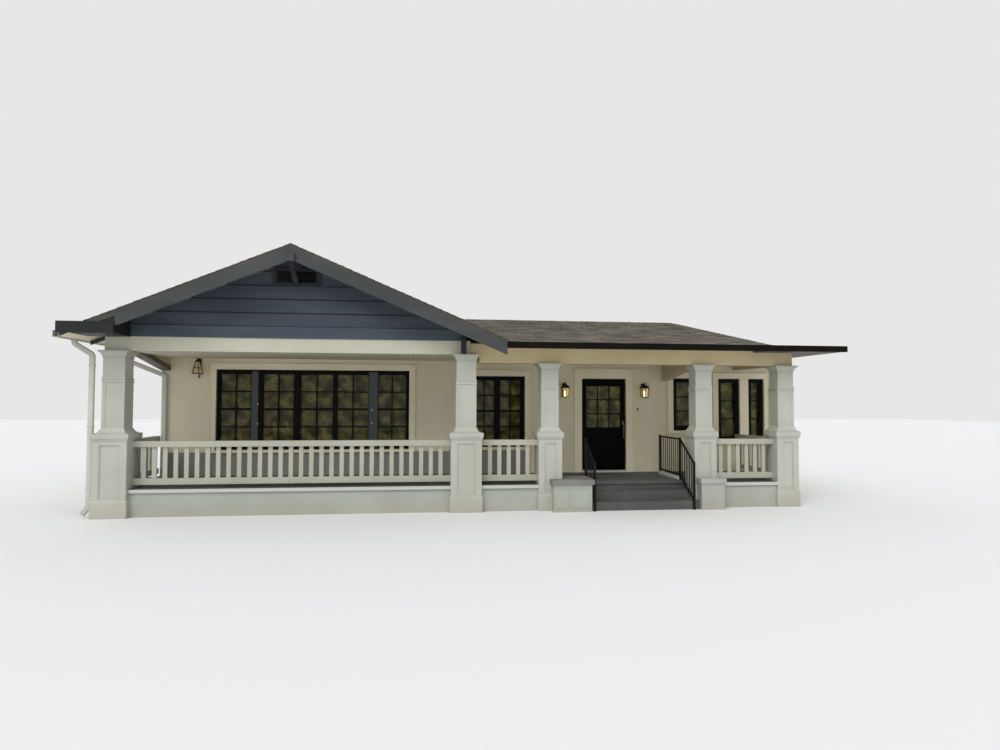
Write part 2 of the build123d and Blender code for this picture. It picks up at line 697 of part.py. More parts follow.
def door_handle():
    """A grip handle outside, near the leaf's right edge."""
    x = DOORWAY.end - DOOR_GAP - DOOR_STILE / 2
    face = HOUSE_FRONT + DOOR_SETBACK
    low = up(HANDLE_HEIGHT) - HANDLE_LENGTH / 2
    high = up(HANDLE_HEIGHT) + HANDLE_LENGTH / 2
    half = HANDLE_BAR / 2
    grip = block(x - half, x + half, face - HANDLE_STAND - HANDLE_BAR, face - HANDLE_STAND, low, high)
    for z in (low + HANDLE_BAR, high - HANDLE_BAR):
        grip += block(x - half, x + half, face - HANDLE_STAND, face, z - half, z + half)
    plate = HANDLE_PLATE / 2
    return grip + block(x - plate, x + plate, face - half, face, high - HANDLE_PLATE, high + HANDLE_PLATE)


def door_casing():
    """Boards round the doorway with a small cornice on top."""
    y0 = HOUSE_FRONT - CASING_THICKNESS
    top = DOORWAY.head + DOOR_CASING_WIDTH
    left = DOORWAY.start - DOOR_CASING_WIDTH
    right = DOORWAY.end + DOOR_CASING_WIDTH
    casing = block(left, right, y0, HOUSE_FRONT, FLOOR_HEIGHT, top)
    casing -= block(DOORWAY.start, DOORWAY.end, y0, HOUSE_FRONT, FLOOR_HEIGHT, DOORWAY.head)
    out = CASING_THICKNESS
    return casing + block(left - out, right + out, y0 - out, HOUSE_FRONT, top, top + 2 * out)


def door_sill():
    y0 = HOUSE_FRONT - DOOR_SILL_OUT
    return block(DOORWAY.start, DOORWAY.end, y0, ROOM_FRONT, FLOOR_HEIGHT, FLOOR_HEIGHT + DOOR_SILL_HEIGHT)


# Porch


STEP_LEFT = PIER_X[2] + PORCH_PIER_WIDTH / 2 + LEFT_CHEEK_WIDTH
STEP_RIGHT = PIER_X[3] - PORCH_PIER_WIDTH / 2 + STEPS_PAST_PIER
STEP_FRONT = PIER_FACE - BOTTOM_RISER_OUT
DECK_STEP_EDGE = STEP_FRONT + (RISERS - 1) * TREAD
PORCH_PIER_FACE = PIER_MIDDLE - PORCH_PIER_WIDTH / 2
DECK_FRONT = PIER_FACE + DECK_SETBACK
PORCH_LEFT = PIER_X[0] - GABLE_PIER_WIDTH / 2 + DECK_SETBACK
PORCH_RIGHT = PIER_X[4] + PORCH_PIER_WIDTH / 2 - DECK_SETBACK


def base_course(index):
    """The thicker foot of a pier."""
    half = PIER_WIDTHS[index] / 2 + BASE_COURSE_OUT
    x = PIER_X[index]
    return block(x - half, x + half, PIER_MIDDLE - half, PIER_MIDDLE + half, 0, BASE_COURSE_HEIGHT)


def pier(index):
    """A panelled pedestal, a cap, a flared foot, a plain shaft with a neck band and a flared capital."""
    x = PIER_X[index]
    width = PIER_WIDTHS[index]
    shaft = SHAFT_WIDTHS[index]
    top = up(COLUMN_TOPS[index])
    cap_bottom = up(PEDESTAL_HEIGHT)
    cap_top = cap_bottom + PIER_CAP_THICKNESS
    middle = PIER_MIDDLE
    half = width / 2
    body = block(x - half, x + half, middle - half, middle + half, 0, cap_bottom)
    sunk = half - PANEL_MARGIN
    panel_low = BASE_COURSE_HEIGHT + PANEL_MARGIN
    panel_high = cap_bottom - PANEL_MARGIN
    for side in (-1, 1):
        near = middle + side * half
        far = near - side * PANEL_DEPTH
        body -= block(x - sunk, x + sunk, min(near, far), max(near, far), panel_low, panel_high)
    body += base_course(index)
    over = half + PIER_CAP_OVERHANG
    body += block(x - over, x + over, middle - over, middle + over, cap_bottom, cap_top)
    foot_width = shaft + 2 * SHAFT_FOOT_WIDENING
    foot = Pos(x, middle, cap_top) * Rectangle(foot_width, foot_width)
    foot_top = Pos(x, middle, cap_top + SHAFT_FOOT_HEIGHT) * Rectangle(shaft, shaft)
    body += loft([foot, foot_top])
    body += block(x - shaft / 2, x + shaft / 2, middle - shaft / 2, middle + shaft / 2, cap_top, top)
    band = shaft / 2 + NECK_BAND_OUT
    band_z = top - NECK_BAND_BELOW_TOP
    body += block(x - band, x + band, middle - band, middle + band, band_z, band_z + NECK_BAND_HEIGHT)
    under = Pos(x, middle, top - CAPITAL_HEIGHT) * Rectangle(shaft, shaft)
    top_width = shaft + 2 * CAPITAL_WIDENING
    over_face = Pos(x, middle, top) * Rectangle(top_width, top_width)
    return body + loft([under, over_face])


def around_piers(shape):
    """Cut the piers' footprints out of a piece that meets them."""
    for index in range(len(PIER_X)):
        half = PIER_WIDTHS[index] / 2
        x = PIER_X[index]
        shape -= block(x - half, x + half, PIER_MIDDLE - half, PIER_MIDDLE + half, 0, up(PEDESTAL_HEIGHT))
        shape -= base_course(index)
    return shape


def porch_deck():
    """The porch floor, let in round the piers and the steps."""
    low = FLOOR_HEIGHT - DECK_THICKNESS
    deck = block(PORCH_LEFT, PORCH_RIGHT, DECK_FRONT, HOUSE_FRONT, low, FLOOR_HEIGHT)
    edge = DECK_STEP_EDGE - DECK_NOSING
    deck -= block(PIER_X[2], PIER_X[3], DECK_FRONT, edge, low, FLOOR_HEIGHT)
    deck -= block(PIER_X[2], STEP_LEFT, edge, DECK_STEP_EDGE, low, FLOOR_HEIGHT)
    return around_piers(deck)


def porch_skirt():
    """Low walls under the porch floor's edge, between the piers and back to the house."""
    top = FLOOR_HEIGHT - DECK_THICKNESS
    y0 = PIER_FACE + SKIRT_SETBACK
    skirt = block(PIER_X[0], PIER_X[2], y0, y0 + SKIRT_THICKNESS, 0, top)
    skirt += block(PIER_X[3], PIER_X[4], y0, y0 + SKIRT_THICKNESS, 0, top)
    left = PIER_X[0] - GABLE_PIER_WIDTH / 2 + SKIRT_SETBACK
    right = PIER_X[4] + PORCH_PIER_WIDTH / 2 - SKIRT_SETBACK
    skirt += block(left, left + SKIRT_THICKNESS, PIER_MIDDLE, HOUSE_FRONT, 0, top)
    skirt += block(right - SKIRT_THICKNESS, right, PIER_MIDDLE, HOUSE_FRONT, 0, top)
    return around_piers(skirt)


def step(index):
    """One solid step; the next one stands on it, and the last one carries a riser up to the porch floor."""
    riser = FLOOR_HEIGHT / RISERS
    y0 = STEP_FRONT + index * TREAD
    top = (index + 1) * riser
    slab = block(STEP_LEFT, STEP_RIGHT, y0, DECK_STEP_EDGE + TREAD, index * riser, top)
    if index == RISERS - 2:
        underside = FLOOR_HEIGHT - DECK_THICKNESS
        slab += block(STEP_LEFT, STEP_RIGHT, DECK_STEP_EDGE, DECK_STEP_EDGE + TREAD, top, underside)
    return around_piers(slab)


def left_cheek_outline(grow, z0, z1):
    """The left block: it fills the place between pier and steps, and laps round the pier's front."""
    x_pier = PIER_X[2] + PORCH_PIER_WIDTH / 2
    front = PIER_FACE - CHEEK_FRONT - grow
    lap = block(x_pier - LEFT_CHEEK_LAP - grow, STEP_LEFT + grow, front, PORCH_PIER_FACE, z0, z1)
    whole = lap + block(x_pier, STEP_LEFT + grow, front, DECK_STEP_EDGE, z0, z1)
    return whole - base_course(2)


def right_cheek():
    """The right block beside the steps, in front of the fourth pier, with a thick ledge on top."""
    right = STEP_RIGHT + RIGHT_CHEEK_WIDTH
    front = PIER_FACE - CHEEK_FRONT
    ledge_bottom = RIGHT_CHEEK_HEIGHT - RIGHT_CHEEK_LEDGE
    out = RIGHT_CHEEK_LEDGE_OUT
    back = PORCH_PIER_FACE
    cheek = block(STEP_RIGHT, right, front, back, 0, ledge_bottom)
    ledge = block(STEP_RIGHT - out, right + out, front - out, back, ledge_bottom, RIGHT_CHEEK_HEIGHT)
    return cheek + ledge - base_course(3)


def balustrade_x(x0, x1, y):
    """A top rail and a bottom rail with square balusters, along X."""
    top = up(RAIL_TOP)
    rail = block(x0, x1, y - TOP_RAIL_WIDTH / 2, y + TOP_RAIL_WIDTH / 2, top - TOP_RAIL_HEIGHT, top)
    low = up(BOTTOM_RAIL_UNDERSIDE)
    half = BOTTOM_RAIL_WIDTH / 2
    rail += block(x0, x1, y - half, y + half, low, low + BOTTOM_RAIL_HEIGHT)
    count = max(1, round((x1 - x0) / BALUSTER_PITCH) - 1)
    pitch = (x1 - x0) / (count + 1)
    for index in range(count):
        x = x0 + (index + 1) * pitch
        rail += block(
            x - BALUSTER_WIDTH / 2,
            x + BALUSTER_WIDTH / 2,
            y - BALUSTER_DEPTH / 2,
            y + BALUSTER_DEPTH / 2,
            low + BOTTOM_RAIL_HEIGHT,
            top - TOP_RAIL_HEIGHT,
        )
    return rail


def balustrade_y(x, y0, y1):
    """The same balustrade along Y, turned from one along X."""
    flat = balustrade_x(0, y1 - y0, 0)
    return Pos(x, y0, 0) * (Rot(0, 0, 90) * flat)


def front_balustrade(index):
    """The balustrade from one pier to the next."""
    left = PIER_X[index] + PIER_WIDTHS[index] / 2
    right = PIER_X[index + 1] - PIER_WIDTHS[index + 1] / 2
    return balustrade_x(left, right, PIER_MIDDLE)


def side_balustrades():
    """The balustrades from the end piers back to the house."""
    left = balustrade_y(PIER_X[0], PIER_MIDDLE + GABLE_PIER_WIDTH / 2, HOUSE_FRONT)
    right = balustrade_y(PIER_X[4], PIER_MIDDLE + PORCH_PIER_WIDTH / 2, HOUSE_FRONT)
    return solids_of(left, right)


def iron_panel(x, start, end):
    """An iron panel between two posts: a top rail, a low rail and pickets. Each end is (y, foot, top)."""
    half = IRON_RAIL / 2
    (ya, za, ta), (yb, zb, tb) = start, end
    low = IRON_LOW_RAIL_ABOVE_FLOOR
    top_line = [(ya, ta - IRON_RAIL), (ya, ta), (yb, tb), (yb, tb - IRON_RAIL)]
    la = ta - IRON_HEIGHT + low
    lb = tb - IRON_HEIGHT + low
    low_line = [(ya, la), (ya, la + IRON_RAIL), (yb, lb + IRON_RAIL), (yb, lb)]
    panel = prism_along_x(top_line, x - half, x + half) + prism_along_x(low_line, x - half, x + half)
    for y, z, top in (start, end):
        post = IRON_POST / 2
        panel += block(x - post, x + post, y - post, y + post, z, top)
    count = round((yb - ya) / IRON_PICKET_PITCH)
    thin = IRON_PICKET / 2
    for index in range(1, count):
        share = index / count
        y = ya + share * (yb - ya)
        top = ta + share * (tb - ta) - IRON_RAIL / 2
        panel += block(x - thin, x + thin, y - thin, y + thin, top - IRON_HEIGHT + low + IRON_RAIL, top)
    return panel


def handrail(x, level_length):
    """An iron rail that slopes down beside the steps, then runs level over the porch floor if asked."""
    foot = (STEP_FRONT - IRON_FOOT_OUT, 0, IRON_FOOT_HEIGHT)
    newel = (DECK_STEP_EDGE + IRON_FOOT_OUT, FLOOR_HEIGHT, FLOOR_HEIGHT + IRON_HEIGHT)
    rail = iron_panel(x, foot, newel)
    if level_length:
        back = (newel[0] + level_length, FLOOR_HEIGHT, FLOOR_HEIGHT + IRON_HEIGHT)
        rail += iron_panel(x, newel, back)
    return rail


def lantern(x):
    """A square lantern that hangs from a back plate on the wall."""
    half = LANTERN_WIDTH / 2
    y1 = HOUSE_FRONT
    low = up(LANTERN_BOTTOM)
    high = low + LANTERN_HEIGHT
    back = y1 - CASING_THICKNESS
    body = block(x - half, x + half, back - LANTERN_WIDTH, back, low, high)
    return body + block(x - half / 2, x + half / 2, back, y1, low, high)


def bell_lantern():
    """A bell-shaped lantern on a wall bracket."""
    x = LEFT_EDGE + BELL_FROM_LEFT
    y = HOUSE_FRONT - BELL_WIDTH / 2 - CASING_SILL_OUT
    low = up(BELL_BOTTOM)
    shoulder = low + BELL_SKIRT_HEIGHT
    bottom = Pos(x, y, low) * Circle(BELL_WIDTH / 2)
    top = Pos(x, y, shoulder) * Circle(BELL_TOP_WIDTH / 2)
    neck_height = BELL_HEIGHT - BELL_SKIRT_HEIGHT
    neck = Pos(x, y, shoulder + neck_height / 2) * Cylinder(BELL_TOP_WIDTH / 2, neck_height)
    half = CASING_THICKNESS / 2
    arm = block(x - half, x + half, y, HOUSE_FRONT, shoulder, low + BELL_HEIGHT)
    return loft([bottom, top]) + neck + arm


# Beams and ceilings


def gable_beam():
    bottom, top = up(GABLE_BEAM_BOTTOM), up(GABLE_BEAM_TOP)
    return block(GABLE_BEAM_LEFT, GABLE_BEAM_RIGHT, BEAM_FRONT, BEAM_BACK, bottom, top)


def porch_beam():
    """The beam of the right part, let in over the second pier, its top cut to the roofs' undersides."""
    left = PIER_X[1] + PORCH_BEAM_END_FROM_PIER
    right = PIER_X[4] + PORCH_SHAFT_WIDTH / 2
    beam = block(left, right, BEAM_FRONT, BEAM_BACK, up(PORCH_BEAM_BOTTOM), HIGH)
    capital = PIER_X[1] + GABLE_SHAFT_WIDTH / 2 + CAPITAL_WIDENING
    beam -= block(left, capital, BEAM_FRONT, BEAM_BACK, up(PORCH_BEAM_BOTTOM), up(GABLE_BEAM_BOTTOM))
    beam = under_main(beam)
    beam -= block(VERGE_X, RIGHT_EDGE, FRONT_EDGE, BACK_EDGE, up(WALL_TOP), HIGH)
    beam -= roof_end_wall()
    return beam - gable_slab(GABLE_RIGHT)


def side_beam(x0, x1, bottom, top, drop):
    """A beam back to the house, level over the capital, whose underside then falls by drop to the wall."""
    capital_back = PIER_MIDDLE + GABLE_SHAFT_WIDTH / 2 + CAPITAL_WIDENING
    outline = [
        (capital_back, up(bottom)),
        (BEAM_BACK, up(bottom)),
        (BEAM_BACK, up(top)),
        (HOUSE_FRONT, up(top)),
        (HOUSE_FRONT, up(bottom) - drop),
    ]
    return prism_along_x(outline, x0, x1)


def side_beams():
    """The beams back to the house at the left end, over the fourth pier and at the right end."""
    half = SIDE_BEAM_THICKNESS / 2
    drop = SIDE_BEAM_DROP
    end = HOUSE_LEFT + SIDE_BEAM_THICKNESS
    left = side_beam(HOUSE_LEFT, end, GABLE_BEAM_BOTTOM, GABLE_RIDGE_HEIGHT, drop)
    fourth, fifth = PIER_X[3:]
    middle = side_beam(fourth - half, fourth + half, PORCH_BEAM_BOTTOM, PORCH_CEILING_UNDERSIDE, drop)
    right = side_beam(fifth - half, fifth + half, PORCH_BEAM_BOTTOM, WALL_TOP, 0)
    return solids_of(under_gable(left), middle, right)


def porch_ceiling():
    """Boards between the beams and the house."""
    left = HOUSE_LEFT + SIDE_BEAM_THICKNESS
    right = PIER_X[4] - SIDE_BEAM_THICKNESS / 2
    top = up(CEILING_UNDERSIDE)
    return block(left, right, BEAM_BACK, HOUSE_FRONT, up(PORCH_CEILING_UNDERSIDE), top)


def room_ceiling():
    return block(ROOM_LEFT, ROOM_RIGHT, ROOM_FRONT, ROOM_BACK, up(CEILING_UNDERSIDE), up(WALL_TOP))


def house_floor():
    low = FLOOR_HEIGHT - FLOOR_THICKNESS
    return block(HOUSE_LEFT, HOUSE_RIGHT, HOUSE_FRONT, HOUSE_BACK, low, FLOOR_HEIGHT)


def foundation_wall():
    """The wall that carries the house's floor and walls."""
    top = FLOOR_HEIGHT - FLOOR_THICKNESS
    outer = block(
        HOUSE_LEFT + FOUNDATION_INSET,
        HOUSE_RIGHT - FOUNDATION_INSET,
        HOUSE_FRONT,
        HOUSE_BACK - FOUNDATION_INSET,
        0,
        top,
    )
    return outer - block(ROOM_LEFT, ROOM_RIGHT, ROOM_FRONT, ROOM_BACK, 0, top)


def frieze_board():
    """The dark board over the gable beam, with the bracket at its right end that stands on the pier."""
    top = up(GABLE_BEAM_TOP)
    board = block(GABLE_BEAM_LEFT, GABLE_BEAM_RIGHT, FRIEZE_FACE, BEAM_BACK, top, up(FRIEZE_TOP))
    end = GABLE_BEAM_RIGHT + BRACKET_WIDTH
    front = BEAM_FRONT - BRACKET_DEPTH
    bracket = block(GABLE_BEAM_RIGHT, end, front, BEAM_BACK, up(GABLE_BEAM_BOTTOM), HIGH)
    return under_gable(board + bracket)


def front_gable_wall():
    y0 = BEAM_FRONT + GABLE_WALL_SETBACK
    y1 = y0 + GABLE_WALL_THICKNESS
    wall = gable_wall(y0, y1, up(FRIEZE_TOP), GABLE_BEAM_LEFT, GABLE_BEAM_RIGHT)
    return wall - vent_hole(y0, y1) - ridge_beam()


def rear_gable_wall():
    bottom = up(WALL_TOP)
    wall = gable_wall(ROOM_BACK, HOUSE_BACK, bottom, HOUSE_LEFT, GABLE_RIGHT)
    return wall - main_slab(MAIN_EAVE_BACK) - ridge_beam()


save("foundation_wall", foundation_wall())
save("house_floor", house_floor())
save("porch_deck", porch_deck())
save("porch_skirt", porch_skirt())
save("step_lower", step(0))
save("step_upper", step(1))
save("cheek_left", left_cheek_outline(0, 0, CHEEK_HEIGHT))
cap_top = CHEEK_HEIGHT + CHEEK_CAP_THICKNESS
save("cheek_left_cap", left_cheek_outline(CHEEK_CAP_OVERHANG, CHEEK_HEIGHT, cap_top))
save("cheek_right", right_cheek())
for number in range(len(PIER_X)):
    save(f"pier_{number + 1}", pier(number))
save("gable_beam", gable_beam())
save("porch_beam", porch_beam())
save("side_beams", side_beams())
save("porch_ceiling", porch_ceiling())
save("room_ceiling", room_ceiling())
save("front_wall_left", front_wall(HOUSE_LEFT, DOORWAY.start, FLOOR_HEIGHT))
save("front_wall_right", front_wall(DOORWAY.end, HOUSE_RIGHT, FLOOR_HEIGHT))
save("front_wall_over_door", front_wall(DOORWAY.start, DOORWAY.end, DOORWAY.head))
save("left_wall", under_gable(side_wall(HOUSE_LEFT, LEFT_WINDOWS)))
over_walls = block(LEFT_EDGE, RIGHT_EDGE, FRONT_EDGE, BACK_EDGE, up(WALL_TOP), HIGH)
save("right_wall", side_wall(HOUSE_RIGHT - WALL_THICKNESS, RIGHT_WINDOWS) - over_walls)
save("back_wall", back_wall())

FRONT_FRAME_Y = HOUSE_FRONT + FRAME_SETBACK
save("window_group_frame", frame_x(GROUP, FRONT_FRAME_Y, GROUP_UPRIGHTS))
right_frames = [frame_x(PAIR, FRONT_FRAME_Y, middle_upright(PAIR))]
right_frames += [frame_x(hole, FRONT_FRAME_Y, []) for hole in (RIGHT_SINGLE, END_FIRST, END_SECOND)]
save("right_window_frames", solids_of(*right_frames))
other_frames = [frame_y(hole, HOUSE_LEFT + FRAME_SETBACK) for hole in LEFT_WINDOWS]
other_frames += [frame_y(hole, HOUSE_RIGHT - FRAME_SETBACK - FRAME_DEPTH) for hole in RIGHT_WINDOWS]
rear_frame_y = HOUSE_BACK - FRAME_SETBACK - FRAME_DEPTH
other_frames += [frame_x(hole, rear_frame_y, middle_upright(hole)) for hole in REAR_WINDOWS]
save("side_and_back_frames", solids_of(*other_frames))
front_glass_y = FRONT_FRAME_Y + FRAME_DEPTH
save("front_window_glass", solids_of(*[sheet_x(hole, front_glass_y) for hole in FRONT_WINDOWS]))
rear_glass = [sheet_y(hole, HOUSE_LEFT + FRAME_SETBACK + FRAME_DEPTH) for hole in LEFT_WINDOWS]
inner_right = HOUSE_RIGHT - FRAME_SETBACK - FRAME_DEPTH - GLASS_THICKNESS
rear_glass += [sheet_y(hole, inner_right) for hole in RIGHT_WINDOWS]
rear_glass += [sheet_x(hole, rear_frame_y - GLASS_THICKNESS) for hole in REAR_WINDOWS]
save("side_and_back_glass", solids_of(*rear_glass))
front_casings = [casing_x(hole, HOUSE_FRONT, -1) for hole in (GROUP, PAIR, RIGHT_SINGLE)]
between = Hole(END_FIRST.end, POST_WIDTH, END_WINDOWS_SILL, RIGHT_HEAD)
post = along_x(between, HOUSE_FRONT - CASING_THICKNESS, HOUSE_FRONT)
front_casings.append(casing_x(END_WINDOWS, HOUSE_FRONT, -1) + post)
save("front_window_casings", solids_of(*[casing - side_beams() for casing in front_casings]))
other_casings = [casing_y(hole, HOUSE_LEFT, -1) for hole in LEFT_WINDOWS]
other_casings += [casing_y(hole, HOUSE_RIGHT, 1) for hole in RIGHT_WINDOWS]
other_casings += [casing_x(hole, HOUSE_BACK, 1) for hole in REAR_WINDOWS]
save("side_and_back_casings", solids_of(*other_casings))

save("front_door", door_leaf())
save("door_glass", door_glass())
save("door_handle", door_handle())
save("door_hinges", door_hinges())
save("door_casing", door_casing())
save("door_sill", door_sill())

save("gable_roof_left", gable_slab(GABLE_LEFT))
save("gable_roof_right", gable_slab(GABLE_RIGHT))
save("main_roof_front", main_slab(MAIN_EAVE_FRONT))
save("main_roof_back", main_slab(MAIN_EAVE_BACK))
save("flat_roof", flat_roof())
save("roof_end_wall", roof_end_wall())
save("ridge_caps", ridge_caps())
save("rake_boards", rake_boards())
save("eave_return", eave_return())
save("ridge_beam", ridge_beam())
save("gable_wall", front_gable_wall())
save("rear_gable_wall", rear_gable_wall())
save("gable_vent", gable_vent())
save("frieze_board", frieze_board())
save("gutters", gutters())
save("downspout", downspout())

save("balustrade_left", front_balustrade(0))
save("balustrade_middle", front_balustrade(1))
save("balustrade_right", front_balustrade(3))
save("side_balustrades", side_balustrades())
left_rail = handrail(STEP_LEFT + CHEEK_CAP_OVERHANG + IRON_POST, 0)
clear_of_pier = STEPS_PAST_PIER + PIER_CAP_OVERHANG + 2 * IRON_POST
right_rail = handrail(STEP_RIGHT - clear_of_pier, IRON_LEVEL_LENGTH)
save("handrails", solids_of(left_rail, right_rail))
lantern_left = lantern(DOORWAY.start - LANTERN_FROM_DOOR)
lantern_right = lantern(DOORWAY.end + LANTERN_FROM_DOOR)
save("lanterns", solids_of(lantern_left, lantern_right, bell_lantern()))
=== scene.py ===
import math
import bpy
import numpy as np
from mathutils import Matrix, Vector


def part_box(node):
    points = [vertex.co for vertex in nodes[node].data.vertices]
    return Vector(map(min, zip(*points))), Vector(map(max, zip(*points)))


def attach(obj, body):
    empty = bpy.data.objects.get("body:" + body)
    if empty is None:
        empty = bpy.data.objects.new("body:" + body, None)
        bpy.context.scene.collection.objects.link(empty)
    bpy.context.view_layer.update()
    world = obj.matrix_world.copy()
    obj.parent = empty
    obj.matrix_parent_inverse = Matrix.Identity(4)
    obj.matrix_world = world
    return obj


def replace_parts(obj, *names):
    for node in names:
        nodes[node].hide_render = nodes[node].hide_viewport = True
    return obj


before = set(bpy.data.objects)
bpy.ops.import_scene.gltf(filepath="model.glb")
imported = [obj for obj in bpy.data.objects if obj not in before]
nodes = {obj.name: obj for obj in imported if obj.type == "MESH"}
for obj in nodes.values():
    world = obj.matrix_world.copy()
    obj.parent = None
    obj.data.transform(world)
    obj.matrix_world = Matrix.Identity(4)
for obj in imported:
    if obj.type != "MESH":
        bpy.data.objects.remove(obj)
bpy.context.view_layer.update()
house = bpy.context.scene
house.view_settings.view_transform = "Standard"

# Camera
# A wide lens on the path in front of the porch, at a standing person's eye.
# It looks a little to the right and a little upwards, and leans by a sixth of a degree.


def placed(name, data):
    """A new object at the origin that shows this mesh, lamp or camera."""
    made = bpy.data.objects.new(name, data)
    house.collection.objects.link(made)
    return made


camera_data = bpy.data.cameras.new("camera")
camera_data.sensor_width = 36.0
camera_data.lens = 24.29
camera_data.clip_end = 200.0
camera = placed("camera", camera_data)
turn, tilt, lean = math.radians(7.10), math.radians(2.28), math.radians(-0.164)
right = np.array([math.cos(turn), -math.sin(turn), 0.0])
ahead = np.array([math.sin(turn) * math.cos(tilt), math.cos(turn) * math.cos(tilt), math.sin(tilt)])
above = np.cross(right, ahead)
axes = np.eye(4)
axes[:3, 0] = right * math.cos(lean) - above * math.sin(lean)
axes[:3, 1] = right * math.sin(lean) + above * math.cos(lean)
axes[:3, 2] = -ahead
axes[:3, 3] = (-1.11, -16.97, 2.007)
camera.matrix_world = Matrix(axes.tolist())
house.camera = camera

# Stucco walls and foundation
# A timber frame with cement stucco, floated with sand and painted warm cream. Rain has washed
# faint streaks down it, its foot is dusty, and painted shade greys the front's left part under the sills.


class Value:
    """What a node gives. The operators add Math nodes to the same material."""

    def __init__(self, finish, socket):
        self.finish = finish
        self.socket = socket

    def maths(self, operation, first, second):
        return self.finish.node("ShaderNodeMath", {"operation": operation}, {0: first, 1: second})

    def __add__(self, other):
        return self.maths("ADD", self, other)

    def __sub__(self, other):
        return self.maths("SUBTRACT", self, other)

    def __rsub__(self, other):
        return self.maths("SUBTRACT", other, self)

    def __mul__(self, other):
        return self.maths("MULTIPLY", self, other)

    __radd__ = __add__


class Finish:
    """One material with a Principled shader; node() adds any other node to it."""

    def __init__(self, name, sockets):
        self.material = bpy.data.materials.new(name)
        self.material.use_nodes = True
        self.tree = self.material.node_tree
        self.shader = self.tree.nodes["Principled BSDF"]
        self.place = self.node("ShaderNodeTexCoord", output="Object")
        self.feed(self.shader, sockets)

    def feed(self, node, sockets):
        for name, value in sockets.items():
            if isinstance(value, Value):
                self.tree.links.new(value.socket, node.inputs[name])
            else:
                node.inputs[name].default_value = value

    def node(self, kind, settings={}, sockets={}, output=0):
        made = self.tree.nodes.new(kind)
        for name, value in settings.items():
            setattr(made, name, value)
        self.feed(made, sockets)
        return Value(self, made.outputs[output])

    def noise(self, size, stretch=(1.0, 1.0, 1.0), detail=4.0):
        """Noise whose grain is size metres across, times stretch along each axis."""
        scale = [1.0 / (size * times) for times in stretch]
        place = self.node("ShaderNodeMapping", {}, {"Vector": self.place, "Scale": scale})
        return self.node("ShaderNodeTexNoise", {}, {"Vector": place, "Scale": 1.0, "Detail": detail})

    def part(self, vector, axis):
        """One of a vector's three numbers."""
        return self.node("ShaderNodeSeparateXYZ", {}, {"Vector": vector}, output=axis)

    def along(self, axis):
        """The place along one axis, in metres."""
        return self.part(self.place, axis)

    def ramp(self, value, low, high):
        """A smooth step from 0 at low to 1 at high."""
        settings = {"interpolation_type": "SMOOTHSTEP"}
        limits = {"Value": value, "From Min": low, "From Max": high}
        return self.node("ShaderNodeMapRange", settings, limits)

    def seams(self, place, pitch, width):
        """1 on lines that are width wide and pitch apart, 0 between them."""
        share = place.maths("FRACT", place * (1.0 / pitch), 0.0)
        return share.maths("LESS_THAN", share, width / pitch)

    def mix(self, share, first, second):
        colours = {0: share, 6: first, 7: second}
        return self.node("ShaderNodeMix", {"data_type": "RGBA"}, colours, output=2)

    def show(self, colour, roughness, height=None, depth=0.001):
        """Feed the shader: a colour, a roughness and the height of the surface in depths."""
        self.feed(self.shader, {"Base Color": colour, "Roughness": roughness})
        if height is not None:
            bump = self.node("ShaderNodeBump", {}, {"Height": height, "Distance": depth, "Strength": 1.0})
            self.feed(self.shader, {"Normal": bump})


def paint(red, green, blue):
    """A colour card's numbers from 0 to 255 as light: each share to the power 2.2."""
    return tuple((level / 255.0) ** 2.2 for level in (red, green, blue)) + (1.0,)


def dress(finish, *names):
    for name in names:
        nodes[name].material_slots[0].material = finish.material


deck_low, deck_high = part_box("porch_deck")
FLOOR = deck_high.z
SHADE_TOP = FLOOR + 0.48


def stucco(name, clean, shaded, shade_end=None):
    """Floated stucco; given an X at the end, painted shade greys it under the sills, to the left of that
    X.
    """
    finish = Finish(name, {})
    patches = finish.ramp(finish.noise(1.6), 0.35, 0.68)
    streaks = finish.ramp(finish.noise(0.12, (1.0, 1.0, 9.0)), 0.52, 0.75)
    dust = finish.ramp(finish.along(2) + finish.noise(0.3) * 0.35, 0.75, 0.1)
    sand = finish.noise(0.006, detail=2.0)
    tone = finish.mix(patches * 0.55, clean, shaded)
    tone = finish.mix(streaks * 0.22, tone, shaded)
    tone = finish.mix(dust * 0.35, tone, paint(150, 138, 112))
    if shade_end is not None:
        # Painted shade: grey under the sills, where the balustrade stands in front of the wall.
        under_sills = finish.ramp(finish.along(2), SHADE_TOP + 0.005, SHADE_TOP - 0.005)
        painted_shade = under_sills * finish.ramp(finish.along(0), shade_end, shade_end - 0.02)
        tone = finish.mix(painted_shade, tone, paint(138, 140, 131))
    tone = finish.mix(sand * 0.16, tone, paint(120, 110, 88))
    finish.show(tone, 0.82 + patches * 0.1, sand + finish.noise(0.03) * 0.8, 0.0022)
    return finish


cream, shaded_cream = paint(232, 223, 195), paint(216, 205, 173)
warm_stucco = stucco("warm_stucco", cream, shaded_cream)
dress(warm_stucco, "front_wall_right", "front_wall_over_door", "left_wall", "right_wall", "back_wall")
PAIR_END, CASING_WIDE = 1.23, 0.13
# On the front's left part this stucco carries painted shade under the sills.
stucco_with_painted_shade = stucco("stucco_with_painted_shade", cream, shaded_cream, PAIR_END + CASING_WIDE)
dress(stucco_with_painted_shade, "front_wall_left")
foot_stucco = stucco("foot_stucco", paint(198, 194, 178), paint(178, 172, 154))
dress(foot_stucco, "foundation_wall")

# Floors, porch floor and steps
# The rooms have oiled boards. The porch floor and steps are cement painted mid grey,
# worn paler along the walk and the front edges, with trowel marks in them.
room_boards = Finish("room_boards", {})
grain = room_boards.noise(0.02, (14.0, 1.0, 1.0))
joints = room_boards.seams(room_boards.along(1), 0.12, 0.004)
tone = room_boards.mix(grain, paint(140, 98, 62), paint(96, 64, 40))
tone = room_boards.mix(joints, tone, paint(40, 28, 20))
room_boards.show(tone, 0.42 + grain * 0.2, grain - joints, 0.002)
dress(room_boards, "house_floor")


